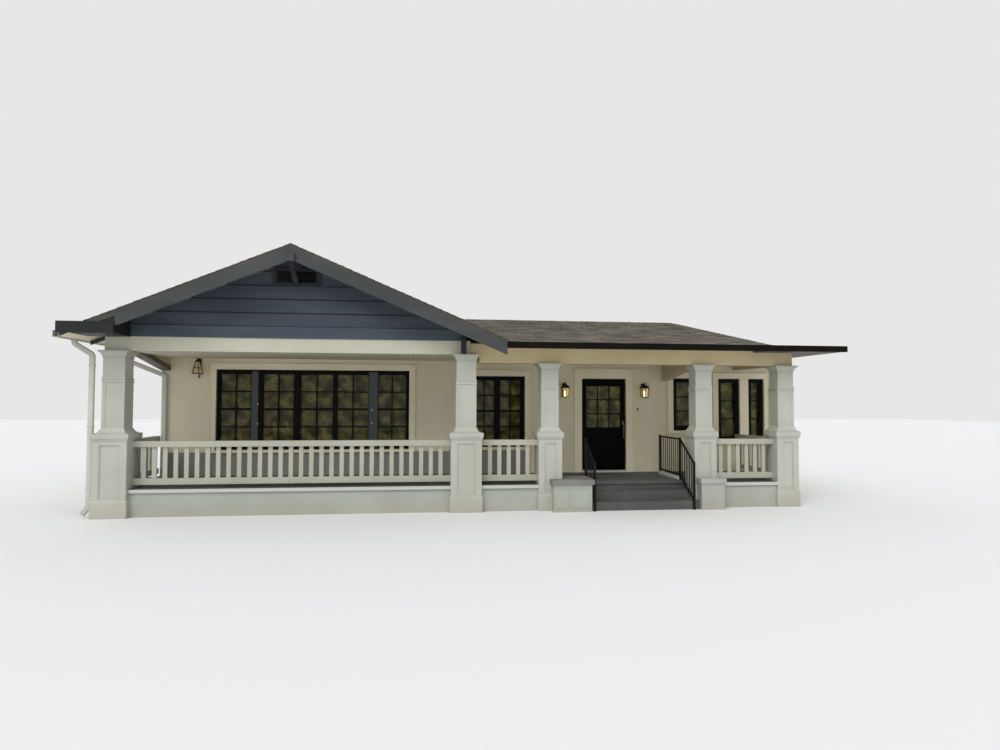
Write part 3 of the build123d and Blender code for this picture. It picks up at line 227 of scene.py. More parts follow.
def painted_cement(name, clean, worn, front=None):
    """Painted cement; with front, the edge that faces the street at that Y is painted off-white."""
    finish = Finish(name, {})
    worn_spots = finish.ramp(finish.noise(0.5), 0.45, 0.7)
    grit = finish.noise(0.005, detail=2.0)
    trowel = finish.noise(0.12, (3.0, 1.0, 1.0))
    tone = finish.mix(worn_spots * 0.6, clean, worn)
    tone = finish.mix(grit * 0.25, tone, paint(60, 60, 58))
    if front is not None:
        front_edge = finish.ramp(finish.along(1), front + 0.004, front + 0.001)
        tone = finish.mix(front_edge, tone, paint(188, 190, 180))
    finish.show(tone, 0.6 + trowel * 0.25, trowel + grit * 0.5, 0.0018)
    return finish


mid_grey, worn_grey = paint(80, 81, 77), paint(101, 102, 97)
grey_cement = painted_cement("grey_cement", mid_grey, worn_grey)
dress(grey_cement, "step_lower", "step_upper")
deck_cement = painted_cement("deck_cement", mid_grey, worn_grey, deck_low.y)
dress(deck_cement, "porch_deck")
bare_cement = painted_cement("bare_cement", paint(122, 123, 115), paint(142, 142, 133))
dress(bare_cement, "cheek_left_cap")

# Sill boards
# A painted board covers the floor's edge over the foundation, wherever the porch doesn't hide it.
# It stands 15 mm out from the stucco, so that rain drips clear.
HEX = np.array([(0, 3, 2, 1), (4, 5, 6, 7), (0, 1, 5, 4), (1, 2, 6, 5), (2, 3, 7, 6), (3, 0, 4, 7)])


def piece(name, points, faces, finish, slot, body="house", soften=0.0):
    """Put arrays of points and faces into a mesh; soften rounds its edges by that many metres."""
    mesh = bpy.data.meshes.new(name)
    mesh.from_pydata(np.asarray(points).reshape(-1, 3).tolist(), [], np.asarray(faces).tolist())
    mesh.materials.append(finish.material)
    made = placed(name, mesh)
    if soften:
        bevel = made.modifiers.new("soften", "BEVEL")
        bevel.width = soften
        bevel.segments = 2
    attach(made, body)
    return made


def solid(corners):
    """Points and faces of six-faced pieces from an array of (count, 8, 3): four lower corners
    anticlockwise, then the four over them. Each piece's faces are shifted by eight corners."""
    corners = np.asarray(corners, float).reshape(-1, 8, 3)
    faces = (HEX[None] + 8 * np.arange(len(corners))[:, None, None]).reshape(-1, 4)
    return corners.reshape(-1, 3), faces


def blocks(name, corners, finish, slot, body="house", soften=0.0):
    return piece(name, *solid(corners), finish, slot, body, soften)


def straight(spans):
    """Corners of upright blocks from rows of x0, x1, y0, y1, z0, z1."""
    spans = np.asarray(spans, float).reshape(-1, 6)
    x = spans[:, [0, 1, 1, 0, 0, 1, 1, 0]]
    y = spans[:, [2, 2, 3, 3, 2, 2, 3, 3]]
    z = spans[:, [4, 4, 4, 4, 5, 5, 5, 5]]
    return np.stack([x, y, z], axis=2)


def border(x0, x1, y0, y1, z0, z1, wide):
    """Four strips inside an upright rectangle, as rows for straight()."""
    left, right = x0 + wide, x1 - wide
    rows = [(x0, left, y0, y1, z0, z1), (right, x1, y0, y1, z0, z1)]
    return rows + [(left, right, y0, y1, z0, z0 + wide), (left, right, y0, y1, z1 - wide, z1)]


LEFT_FACE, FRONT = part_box("left_wall")[0].x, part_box("front_wall_left")[0].y
RIGHT_FACE, BACK_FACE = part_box("right_wall")[1].x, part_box("back_wall")[1].y
SILL_OUT, SILL_BOTTOM, SILL_TOP = 0.015, 0.345, 0.5
sill_board_paint = stucco("sill_board_paint", paint(196, 190, 170), paint(176, 168, 146))
runs = [(LEFT_FACE - SILL_OUT, LEFT_FACE, FRONT, BACK_FACE + SILL_OUT)]
runs.append((RIGHT_FACE, RIGHT_FACE + SILL_OUT, FRONT, BACK_FACE + SILL_OUT))
runs.append((LEFT_FACE, RIGHT_FACE, BACK_FACE, BACK_FACE + SILL_OUT))
runs.append((deck_high.x, RIGHT_FACE + SILL_OUT, FRONT - SILL_OUT, FRONT))
sill_boards = [(*run, SILL_BOTTOM, SILL_TOP) for run in runs]
blocks("sill_boards", straight(sill_boards), sill_board_paint, "stucco", soften=0.004)

# Piers
# Boxed timber piers: a panelled pedestal under a moulded cap, and a boarded shaft with
# corner boards. All of it is painted off-white with a brush.


def brush_paint(name, clean, shaded, grain_along):
    """Brushed paint on wood: the brush's lines run along one axis."""
    finish = Finish(name, {})
    stretch = [18.0 if axis == grain_along else 1.0 for axis in range(3)]
    brush = finish.noise(0.006, stretch)
    patches = finish.ramp(finish.noise(0.7), 0.35, 0.7)
    dust = finish.ramp(finish.along(2) + finish.noise(0.2) * 0.3, 0.6, 0.05)
    tone = finish.mix(patches * 0.5, clean, shaded)
    tone = finish.mix(dust * 0.4, tone, paint(158, 150, 128))
    tone = finish.mix(brush * 0.12, tone, paint(120, 118, 108))
    finish.show(tone, 0.5 + patches * 0.15, brush, 0.0012)
    return finish


pier_paint = brush_paint("pier_paint", paint(185, 186, 174), paint(168, 168, 154), 2)
dress(pier_paint, "pier_1", "pier_2", "pier_3", "pier_4", "pier_5")
base_paint = brush_paint("base_paint", paint(172, 175, 165), paint(154, 156, 145), 0)
dress(base_paint, "cheek_left", "cheek_right", "porch_skirt")
SQUARE = np.array([(-1, -1), (1, -1), (1, 1), (-1, 1)], float)


def ring(profile, spread, x, y, z):
    """Points and faces of a closed profile carried round: its point (out, up) lies out times each
    row of spread from x, y, and up over z. The profile goes up on its outer side. With SQUARE as
    spread it goes round a square, with mitred corners."""
    profile = np.asarray(profile, float)
    points = np.empty((len(profile), len(spread), 3))
    points[:, :, :2] = (x, y) + profile[:, 0, None, None] * spread[None]
    points[:, :, 2] = z + profile[:, 1, None]
    count = len(spread)
    i, j = np.meshgrid(np.arange(len(profile)), np.arange(count), indexing="ij")
    after = (i + 1) % len(profile) * count
    beside = (j + 1) % count
    faces = np.stack([i * count + j, i * count + beside, after + beside, after + j], axis=2)
    return points.reshape(-1, 3), faces.reshape(-1, 4)


def gather(parts):
    """Join several sets of points and faces, with each set's faces shifted past the last points."""
    points, faces, count = [], [], 0
    for part_points, part_faces in parts:
        points.append(part_points)
        faces.append(part_faces + count)
        count += len(part_points)
    return np.concatenate(points), np.concatenate(faces)


CAP_BOTTOM, CAP_TOP, CAP_OVERHANG = FLOOR + 0.88, FLOOR + 0.96, 0.03
SHAFT_FLARE, FLARE_TOP = 0.06, CAP_TOP + 0.11
CORNER_BOARD, BOARD_PROUD = 0.055, 0.006
PANEL_BOTTOM, PANEL_INSET = 0.34, 0.11
UNDER_CAP = [(0.0, -0.05), (0.008, -0.045), (0.022, -0.012), (0.022, 0.0), (0.0, 0.0)]
ON_CAP = [(0.0, 0.0), (0.018, 0.0), (0.018, 0.012), (0.0, 0.02)]
BASE = [(0.0, 0.0), (0.016, 0.0), (0.016, 0.28), (0.004, 0.3), (0.0, 0.3)]
NECK = [(0.0, 0.0), (0.014, 0.0), (0.014, 0.018), (0.007, 0.045), (0.0, 0.045)]
COLLAR = [(0.0, -0.032), (0.066, -0.03), (0.066, -0.002), (0.0, -0.002)]
BEAD = [(0.0, -0.13), (0.01, -0.126), (0.01, -0.112), (0.0, -0.108)]
for number in range(1, 6):
    low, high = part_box(f"pier_{number}")
    x, y = (low.x + high.x) / 2, (low.y + high.y) / 2
    half = (high.x - low.x) / 2 - CAP_OVERHANG
    shaft, neck_z = (0.18, FLOOR + 1.85) if number < 3 else (0.16, FLOOR + 1.79)
    mouldings = [(UNDER_CAP, half, CAP_BOTTOM), (ON_CAP, shaft + SHAFT_FLARE, CAP_TOP), (BASE, half, 0.0)]
    mouldings += [(NECK, shaft, neck_z), (COLLAR, shaft, high.z), (BEAD, shaft, high.z)]
    rings = [ring(np.add(profile, (out, 0.0)), SQUARE, x, y, z) for profile, out, z in mouldings]
    piece(f"pier_{number}_mouldings", *gather(rings), pier_paint, "pier_paint", soften=0.003)
    boards = []
    for side_x in (-1, 1):
        for side_y in (-1, 1):
            edge_x, edge_y = x + side_x * shaft, y + side_y * shaft
            xs = sorted((edge_x - side_x * CORNER_BOARD, edge_x + side_x * BOARD_PROUD))
            ys = sorted((edge_y - side_y * CORNER_BOARD, edge_y + side_y * BOARD_PROUD))
            boards.append((*xs, *ys, FLARE_TOP, neck_z))
    blocks(f"pier_{number}_corner_boards", straight(boards), pier_paint, "pier_paint", soften=0.002)
    panel, panel_top = half - PANEL_INSET, CAP_BOTTOM - PANEL_INSET
    strips = []
    for face, side_y in ((y - half, 1), (y + half, -1)):
        ys = sorted((face + side_y * 0.004, face + side_y * 0.018))
        strips += border(x - panel, x + panel, *ys, PANEL_BOTTOM, panel_top, 0.016)
    blocks(f"pier_{number}_panel_mouldings", straight(strips), pier_paint, "pier_paint", soften=0.003)

cheek_low, cheek_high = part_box("cheek_left")
split = cheek_low.x + 0.3
strips = []
for x0, x1 in ((cheek_low.x + 0.03, split - 0.02), (split + 0.02, cheek_high.x - 0.03)):
    strips += border(x0, x1, cheek_low.y - 0.01, cheek_low.y + 0.002, 0.06, cheek_high.z - 0.06, 0.02)
blocks("cheek_left_panel_mouldings", straight(strips), base_paint, "pier_paint", soften=0.003)

# Beams and ceilings
# Boxed beams over the piers with a beaded board ceiling behind them, painted cream.
# A weathered board slopes down to the wall along the left side beam.


def sloped(corners, axis, places, heights):
    """Raise each corner by a height that changes evenly between two places along one axis."""
    corners[:, :, 2] += np.interp(corners[:, :, axis], places, heights)
    return corners


cream_trim = brush_paint("cream_trim", paint(195, 193, 176), paint(180, 176, 154), 0)
dress(cream_trim, "gable_beam")
# Painted shade: a darker, warmer copy of the cream for the porch and side beams, which stand in warm
# shade.
cream_in_warm_shade = brush_paint("cream_in_warm_shade", paint(194, 180, 142), paint(176, 160, 120), 0)
dress(cream_in_warm_shade, "porch_beam", "side_beams")
weathered_wood = brush_paint("weathered_wood", paint(92, 84, 68), paint(70, 64, 54), 1)
cover_start, cover_thick = -4.12, 0.1
cover = straight((-6.245, -6.055, cover_start, FRONT, 0.0, cover_thick))
cover = sloped(cover, 1, (cover_start, FRONT), (FLOOR + 2.392, FLOOR + 2.142))
blocks("left_beam_cover", cover, weathered_wood, "dark_trim", soften=0.004)
beam_low, beam_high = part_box("gable_beam")
joint = (beam_high.x + 0.085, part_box("porch_beam")[0].x + 0.005)
joint_block = straight((*joint, beam_low.y, beam_high.y, beam_low.z, beam_high.z))
blocks("beam_joint_block", joint_block, cream_trim, "cream_trim")
ceiling_boards = Finish("ceiling_boards", {})
beads = ceiling_boards.seams(ceiling_boards.along(0), 0.09, 0.007)
brush = ceiling_boards.noise(0.008, (1.0, 16.0, 1.0))
tone = ceiling_boards.mix(brush * 0.25, paint(214, 206, 182), paint(180, 170, 144))
tone = ceiling_boards.mix(beads * 0.6, tone, paint(120, 110, 88))
ceiling_boards.show(tone, 0.55 + brush * 0.2, 1.0 - beads, 0.004)
dress(ceiling_boards, "porch_ceiling", "room_ceiling")

# Windows
# Black wooden casement sashes in fixed frames, each with small panes between glazing bars.
# The sheets of glass stand behind them, and the rooms are dark.
black_paint = Finish("black_paint", {"Specular IOR Level": 0.12})
brush = black_paint.noise(0.005, (1.0, 1.0, 16.0))
dusty = black_paint.ramp(black_paint.noise(0.25), 0.45, 0.75)
tone = black_paint.mix(dusty * 0.3, paint(9, 9, 10), paint(26, 26, 27))
black_paint.show(tone, 0.5 + dusty * 0.2, brush, 0.0006)
dress(black_paint, "window_group_frame", "right_window_frames", "side_and_back_frames")
clear = {"Transmission Weight": 0.6, "IOR": 1.3, "Specular IOR Level": 0.35}
window_glass = Finish("window_glass", clear)
# Painted reflection: the glass's olive tone and its lighter and darker patches stand for greenery
# mirrored in it; the patches also vary the roughness, like smears.
smears_and_reflections = window_glass.ramp(window_glass.noise(0.22, detail=6.0), 0.35, 0.7)
tone = window_glass.mix(smears_and_reflections, paint(86, 82, 42), paint(172, 164, 104))
window_glass.show(tone, 0.03 + smears_and_reflections * 0.06)
dress(window_glass, "front_window_glass", "side_and_back_glass")
casing_cream = brush_paint("casing_cream", paint(238, 229, 198), paint(224, 213, 180), 2)
dress(casing_cream, "front_window_casings", "side_and_back_casings", "door_casing")
# Painted highlight: two stiles of the black frame are grey-blue where they catch the light.
stile_highlight = Finish("stile_highlight", {"Specular IOR Level": 0.4})
brush = stile_highlight.noise(0.005, (1.0, 1.0, 16.0))
tone = stile_highlight.mix(brush, paint(58, 60, 62), paint(80, 82, 84))
stile_highlight.show(tone, 0.4 + brush * 0.2, brush, 0.0006)


def sash_bars(x0, x1, z0, z1, columns, rows, side):
    """Rows of (across0, across1, deep0, deep1, z0, z1) for one sash: four edge pieces and the
    glazing bars, whose places divide the opening evenly. side is the width of the edge pieces."""
    deep, bar, meeting = (0.012, 0.058), 0.024, 0.042
    foot_rail, top_rail = 0.05, 0.03
    inner0, inner1, low, high = x0 + side, x1 - side, z0 + foot_rail, z1 - top_rail
    spans = [(x0, inner0, *deep, z0, z1), (inner1, x1, *deep, z0, z1)]
    spans += [(inner0, inner1, *deep, z0, low), (inner0, inner1, *deep, high, z1)]
    for x in np.linspace(inner0, inner1, columns + 1)[1:-1]:
        spans.append((x - bar / 2, x + bar / 2, 0.02, 0.055, low, high))
    for row, z in enumerate(np.linspace(low, high, rows + 1)[1:-1], 1):
        thick = meeting if rows == 4 and row == 2 else bar
        spans.append((inner0, inner1, 0.0215, 0.0535, z - thick / 2, z + thick / 2))
    return spans


def window(name, start, end, low, high, face, inward, axis, uprights, columns, rows, side=0.035):
    """Sashes in every light of a frame: worked out along the wall, then laid on axis 0 (X) or 1 (Y).
    The depths run from the frame's outer face, inward being +1 or -1 on the other axis. Each
    upright is (place from the start, width), and the lights are what lies between them."""
    frame_bar = 0.06
    edges = [frame_bar]
    for at, wide in uprights:
        edges += [at, at + wide]
    edges.append(end - start - frame_bar)
    low, high = low + frame_bar, high - frame_bar
    spans = []
    for left, right in zip(edges[::2], edges[1::2]):
        spans += sash_bars(start + left, start + right, low, high, columns, rows, side)
    spans = np.array(spans)
    deep = np.sort(face + inward * spans[:, 2:4], axis=1)
    laid = [spans[:, 0:2], deep] if axis == 0 else [deep, spans[:, 0:2]]
    rows = np.column_stack(laid + [spans[:, 4:6]])
    blocks(name, straight(rows), black_paint, "window_frame", soften=0.002)


SET_BACK = 0.03
SILL, HEAD, WIDE = FLOOR + 0.8, FLOOR + 2.06, 1.2


def wall_windows(side, face, inward, axis, start, end, count):
    """Evenly spread windows of two lights, count of them in the wall from start to end."""
    bay = (end - start) / count
    for index in range(count):
        first = start + bay * (index + 0.5) - WIDE / 2
        place = (first, first + WIDE, SILL, HEAD, face + inward * SET_BACK, inward, axis)
        window(f"{side}_window_{index + 1}_sashes", *place, [(0.57, 0.06)], 2, 4)


def sides_and_top(x0, x1, y0, y1, z0, z1, wide):
    """The strips of border() without the lowest one."""
    left, right, _, top = border(x0, x1, y0, y1, z0, z1, wide)
    return [left, right, top]


frame_low, frame_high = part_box("window_group_frame")
GROUP = (frame_low.x, frame_high.x, frame_low.z, frame_high.z)
PAIR = (0.04, PAIR_END, FLOOR + 0.56, FLOOR + 2.08)
SINGLE = (4.57, 5.13, FLOOR + 0.9, FLOOR + 2.06)
END_PAIR = (5.62, 6.70, FLOOR + 0.65, FLOOR + 2.06)
GROUP_UPRIGHTS = [(0.693, 0.215), (1.542, 0.119), (2.338, 0.074), (3.073, 0.183)]
window("window_group_sashes", *GROUP, frame_low.y, 1, 0, GROUP_UPRIGHTS, 2, 4, 0.012)
# These two grey stiles are a painted highlight on the black frame.
stiles = []
for x0, x1 in ((0.693, 0.821), (3.073, 3.256)):
    across = (frame_low.x + x0, frame_low.x + x1, frame_low.y - 0.008, frame_low.y)
    stiles.append((*across, frame_low.z + 0.03, frame_high.z - 0.03))
blocks("window_group_stiles", straight(stiles), stile_highlight, "window_frame", soften=0.002)
window("window_pair_sashes", *PAIR, FRONT + SET_BACK, 1, 0, [(0.565, 0.06)], 2, 4)
window("end_single_sash", *SINGLE, FRONT + SET_BACK, 1, 0, [], 1, 3)
start, end, low, high = END_PAIR
window("end_first_sash", start, 6.125, low, high, FRONT + SET_BACK, 1, 0, [], 1, 3)
window("end_second_sash", 6.33, end, low, high, FRONT + SET_BACK, 1, 0, [], 1, 3)
ROOM_START, ROOM_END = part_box("left_wall")[0].y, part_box("left_wall")[1].y
wall_windows("left", LEFT_FACE, 1, 1, ROOM_START, ROOM_END, 3)
wall_windows("right", RIGHT_FACE, -1, 1, ROOM_START, ROOM_END, 2)
wall_windows("back", BACK_FACE, -1, 0, LEFT_FACE, RIGHT_FACE, 4)
CASING_FACE = FRONT - 0.025
bands = []
for x0, x1, z0, z1 in (GROUP, PAIR, SINGLE, END_PAIR):
    for out, proud, wide in ((CASING_WIDE, 0.012, 0.022), (0.014, 0.006, 0.012)):
        bands += sides_and_top(x0 - out, x1 + out, CASING_FACE - proud, CASING_FACE, z0, z1 + out, wide)
blocks("front_casing_bands", straight(bands), casing_cream, "cream_trim", soften=0.003)

# Front door
# A black wooden leaf on three hinges: nine panes above, two sunk panels below.
# It turns inwards, and its bars and mouldings turn with it.
door_paint = Finish("door_paint", {"Specular IOR Level": 0.06})
grain = door_paint.noise(0.006, (1.0, 1.0, 20.0))
scuffs = door_paint.ramp(door_paint.noise(0.2), 0.5, 0.78)
tone = door_paint.mix(scuffs * 0.35, paint(3, 3, 3), paint(17, 16, 16))
door_paint.show(tone, 0.42 + scuffs * 0.2, grain, 0.0006)
dress(door_paint, "front_door")
# The door's glass has the same painted reflection.
dress(window_glass, "door_glass")
leaf_low, leaf_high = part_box("front_door")
glass_low, glass_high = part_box("door_glass")
HALF_BAR = 0.011
bars = []
for x in np.linspace(glass_low.x, glass_high.x, 4)[1:-1]:
    bars.append((x - HALF_BAR, x + HALF_BAR, leaf_low.y + 0.004, glass_low.y, glass_low.z, glass_high.z))
for z in np.linspace(glass_low.z, glass_high.z, 4)[1:-1]:
    bars.append((glass_low.x, glass_high.x, leaf_low.y + 0.005, glass_low.y, z - HALF_BAR, z + HALF_BAR))
inside = [(b[0], b[1], glass_high.y, leaf_high.y - 0.004, b[4], b[5]) for b in bars]
blocks("door_bars", straight(bars + inside), door_paint, "door_paint", "door", soften=0.002)
stops = []
for y0, y1 in ((leaf_low.y + 0.002, glass_low.y), (glass_high.y, leaf_high.y - 0.002)):
    stops += border(glass_low.x, glass_high.x, y0, y1, glass_low.z, glass_high.z, 0.014)
blocks("door_glass_stops", straight(stops), door_paint, "door_paint", "door", soften=0.003)
panels = []
stile = 0.095
panel_width = (leaf_high.x - leaf_low.x - 3 * stile) / 2
for index in range(2):
    x0 = leaf_low.x + stile + index * (panel_width + stile)
    for y0, y1 in ((leaf_low.y + 0.001, leaf_low.y + 0.01), (leaf_high.y - 0.01, leaf_high.y - 0.001)):
        panels += border(x0, x0 + panel_width, y0, y1, FLOOR + 0.2, FLOOR + 0.82, 0.02)
        middle = (x0 + 0.05, x0 + panel_width - 0.05, y0 + 0.003, y1 - 0.002, FLOOR + 0.25, FLOOR + 0.77)
        panels.append(middle)
blocks("door_panel_mouldings", straight(panels), door_paint, "door_paint", "door", soften=0.004)
casing_low, casing_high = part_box("door_casing")
x0, x1 = casing_low.x + 0.025, casing_high.x - 0.025
bands = sides_and_top(x0, x1, CASING_FACE - 0.012, CASING_FACE, FLOOR, FLOOR + 2.21, 0.024)
blocks("door_casing_bands", straight(bands), casing_cream, "cream_trim", soften=0.003)
bell_push = straight((3.731, 3.766, FRONT - 0.014, FRONT, FLOOR + 1.35, FLOOR + 1.39))
blocks("bell_push", bell_push, black_paint, "door_metal", soften=0.004)


def brushed_metal(name, bright, dull, roughness):
    finish = Finish(name, {"Metallic": 1.0})
    brush = finish.noise(0.0015, (1.0, 1.0, 30.0))
    finish.show(finish.mix(brush, bright, dull), roughness + brush * 0.15, brush, 0.0002)
    return finish


aged_nickel = brushed_metal("aged_nickel", paint(126, 120, 108), paint(86, 81, 73), 0.42)
dress(aged_nickel, "door_handle", "door_hinges")
bright_steel = brushed_metal("bright_steel", paint(214, 212, 204), paint(176, 172, 162), 0.3)
HALF_LATCH = 0.012
latches = []
for x, heights in ((-4.345, (1.06, 1.47)), (-2.03, (1.07, 1.35))):
    for z in heights:
        across = (x - HALF_LATCH, x + HALF_LATCH, FRONT + 0.01, FRONT + 0.022)
        latches.append((*across, FLOOR + z - HALF_LATCH, FLOOR + z + HALF_LATCH))
blocks("window_latches", straight(latches), bright_steel, "door_metal", soften=0.003)
sill_paint = brush_paint("sill_paint", paint(206, 204, 194), paint(176, 173, 160), 0)
dress(sill_paint, "door_sill")

# Gables
# Wide lapped boards under the roof, painted slate, with a louvred vent in the middle
# and wide rake boards in front. The frieze board closes the gable's foot.
LAP, LAP_FOOT, LAP_TOP = 0.25, 0.022, 0.006


def dark_boards(name, clean, faded, first_lap=None, shaded_from=None, underside=None):
    """Painted boards. With first_lap, a painted shadow lies in a line at every lap from that height. With
    shaded_from, painted shade darkens them to the right of that X, where the bracket stands. With
    underside, faces that look down have that colour."""
    finish = Finish(name, {"Specular IOR Level": 0.3})
    grain = finish.noise(0.008, (22.0, 1.0, 1.0))
    faded_spots = finish.ramp(finish.noise(0.35, (4.0, 1.0, 1.0)), 0.42, 0.72)
    tone = finish.mix(faded_spots * 0.7, clean, faded)
    tone = finish.mix(grain * 0.3, tone, paint(24, 26, 30))
    if first_lap is not None:
        # Painted shadow: a dark line at the foot of each board, where it overhangs the board below.
        laps = finish.seams(finish.along(2) - first_lap + 0.012, LAP, 0.026)
        tone = finish.mix(laps * 0.75, tone, paint(22, 27, 32))
    if shaded_from is not None:
        # Painted shade: the frieze is darker to the right of the bracket.
        shade = finish.ramp(finish.along(0), shaded_from - 0.004, shaded_from)
        tone = finish.mix(shade, tone, paint(38, 40, 42))
    if underside is not None:
        upwards = finish.part(finish.node("ShaderNodeNewGeometry", output="Normal"), 2)
        tone = finish.mix(finish.ramp(upwards, -0.5, -0.7), tone, underside)
    finish.show(tone, 0.5 + faded_spots * 0.2, grain, 0.002)
    return finish


wall_low, wall_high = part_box("gable_wall")
slate_paint = dark_boards("slate_paint", paint(64, 73, 84), paint(82, 90, 100), wall_low.z)
dark_trim = dark_boards("dark_trim", paint(64, 68, 68), paint(84, 86, 83))
dress(slate_paint, "gable_wall", "rear_gable_wall", "roof_end_wall")
dress(dark_trim, "rake_boards", "ridge_beam")
shaded_trim = dark_boards("shaded_trim", paint(28, 31, 30), paint(40, 44, 41))
dress(shaded_trim, "eave_return")
bracket_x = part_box("gable_beam")[1].x
frieze_paint = dark_boards("frieze_paint", paint(68, 79, 88), paint(86, 96, 102), shaded_from=bracket_x)
dress(frieze_paint, "frieze_board")
vent_paint = dark_boards("vent_paint", paint(40, 44, 50), paint(60, 64, 70))
dress(vent_paint, "gable_vent")
ridge_low, ridge_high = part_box("ridge_beam")
ridge_x = (ridge_low.x + ridge_high.x) / 2
UNDER_RIDGE = wall_high.z
eave_foot, eave_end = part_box("gable_roof_right")[0].z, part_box("gable_roof_right")[1].x
SLOPE = (UNDER_RIDGE - eave_foot) / (eave_end - ridge_x)


def lap_boards(low, left_end, right_end, hole=None):
    """Lapped boards as (across0, across1 at the foot; the same at the top; z0, z1): each board's ends
    lie where the roof's underside is at its own foot and top, so that they follow the slope."""
    rows = []
    for foot in np.arange(low, UNDER_RIDGE - 0.05, LAP):
        top = min(foot + LAP + 0.02, UNDER_RIDGE - 0.02)
        ends = []
        for z in (foot, top):
            reach = (UNDER_RIDGE - z) / SLOPE
            ends.append((max(left_end, ridge_x - reach), min(right_end, ridge_x + reach)))
        if hole and foot < hole[3] and top - 0.03 > hole[2]:
            rows.append((ends[0][0], hole[0], ends[1][0], hole[0], foot, top))
            rows.append((hole[1], ends[0][1], hole[1], ends[1][1], foot, top))
        else:
            rows.append((*ends[0], *ends[1], foot, top))
    rows = np.array(rows)
    keep = (rows[:, 1] > rows[:, 0]) & (rows[:, 3] >= rows[:, 2])
    return rows[keep]


def lap_corners(rows, face, outward):
    """Corners of the boards on a wall along X, whose foot stands out further than their top."""
    corners = []
    for left, right, height, out in ((0, 1, 4, LAP_FOOT), (2, 3, 5, LAP_TOP)):
        near, far = sorted((face, face + outward * out))
        for column, y in ((left, near), (right, near), (right, far), (left, far)):
            corners.append(np.stack([rows[:, column], np.full(len(rows), y), rows[:, height]], axis=1))
    return np.stack(corners, axis=1)


vent_low, vent_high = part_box("gable_vent")
hole = (vent_low.x - 0.05, vent_high.x + 0.05, vent_low.z, vent_high.z)
rows = lap_boards(wall_low.z, wall_low.x, wall_high.x, hole)
blocks("gable_siding", lap_corners(rows, wall_low.y, -1), slate_paint, "siding", soften=0.002)
wall_low, wall_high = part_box("rear_gable_wall")
rows = lap_boards(wall_low.z, wall_low.x, wall_high.x - 0.7)
blocks("rear_siding", lap_corners(rows, wall_high.y, 1), slate_paint, "siding", soften=0.002)
x0, x1, y0, y1 = vent_low.x + 0.01, vent_high.x - 0.01, vent_low.y - 0.03, vent_low.y
z0, z1 = vent_low.z - 0.03, vent_high.z + 0.03
trim = [(x0 - 0.07, x0, y0, y1, z0, z1), (x1, x1 + 0.07, y0, y1, z0, z1)]
trim += [(x0, x1, y0, y1, z0 - 0.005, z0 + 0.045), (x0, x1, y0, y1, z1 - 0.04, z1)]
blocks("vent_trim", straight(trim), vent_paint, "siding", soften=0.003)
TAIL_SPACING, TAIL_WIDE, TAIL_DEEP = 0.6, 0.045, 0.07
tail_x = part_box("gable_roof_left")[0].x + 0.03
tail_z, wall_z = (UNDER_RIDGE - SLOPE * (ridge_x - x) - 0.1 for x in (tail_x, LEFT_FACE))
places = np.arange(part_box("porch_ceiling")[0].y + 0.1, BACK_FACE, TAIL_SPACING)
tails = straight([(tail_x, LEFT_FACE, y, y + TAIL_WIDE, 0.0, TAIL_DEEP) for y in places])
tails = sloped(tails, 0, (tail_x, LEFT_FACE), (tail_z + 0.03, wall_z))
blocks("rafter_tails", tails, dark_trim, "dark_trim", soften=0.003)
BRACE = 0.09
x0, x1 = ridge_x - BRACE / 2, ridge_x + BRACE / 2
foot_y, head_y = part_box("gable_wall")[0].y - LAP_FOOT - BRACE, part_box("rake_boards")[0].y + 0.045
corners = []
for y, z in ((foot_y, FLOOR + 3.63), (head_y, ridge_low.z)):
    corners += [(x0, y, z), (x1, y, z), (x1, y + BRACE, z), (x0, y + BRACE, z)]
# Painted shade: the brace has the darker vent paint, as it stands in shade under the ridge.
blocks("ridge_brace", corners, vent_paint, "dark_trim", soften=0.003)

# Roof covering
# Composition shingles in courses over boards: grey-brown, sun-bleached and mottled.
# Each course laps the one under it, and its joints stand over the tabs below.
shingle = Finish("shingle", {})
tab = shingle.node("ShaderNodeUVMap", {"uv_map": "tab"})
tone_of_tab, up_the_tab = shingle.part(tab, 0), shingle.part(tab, 1)
# Partly grime, partly painted shade: each tab darkens towards its head, just under the foot of the course
# above.
grime_and_shade_at_head = shingle.ramp(up_the_tab, 0.55, 0.84)
grit = shingle.noise(0.004, detail=2.0)
stain = shingle.ramp(shingle.noise(0.9), 0.4, 0.72)
tone = shingle.mix(tone_of_tab, paint(86, 82, 72), paint(142, 136, 120))
tone = shingle.mix(stain * 0.4, tone, paint(84, 80, 72))
tone = shingle.mix(grit * 0.4, tone, paint(72, 68, 60))
tone = shingle.mix(grime_and_shade_at_head * 0.6, tone, paint(52, 48, 42))
shingle.show(tone, 0.88 + grit * 0.1, grit, 0.0015)
dress(shingle, "ridge_caps")
roof_edge = dark_boards("roof_edge", paint(70, 68, 66), paint(92, 88, 84), underside=paint(226, 212, 188))
dress(roof_edge, "gable_roof_left", "gable_roof_right", "main_roof_front", "main_roof_back")
roll_roofing = painted_cement("roll_roofing", paint(104, 98, 90), paint(126, 118, 108))
dress(roll_roofing, "flat_roof")


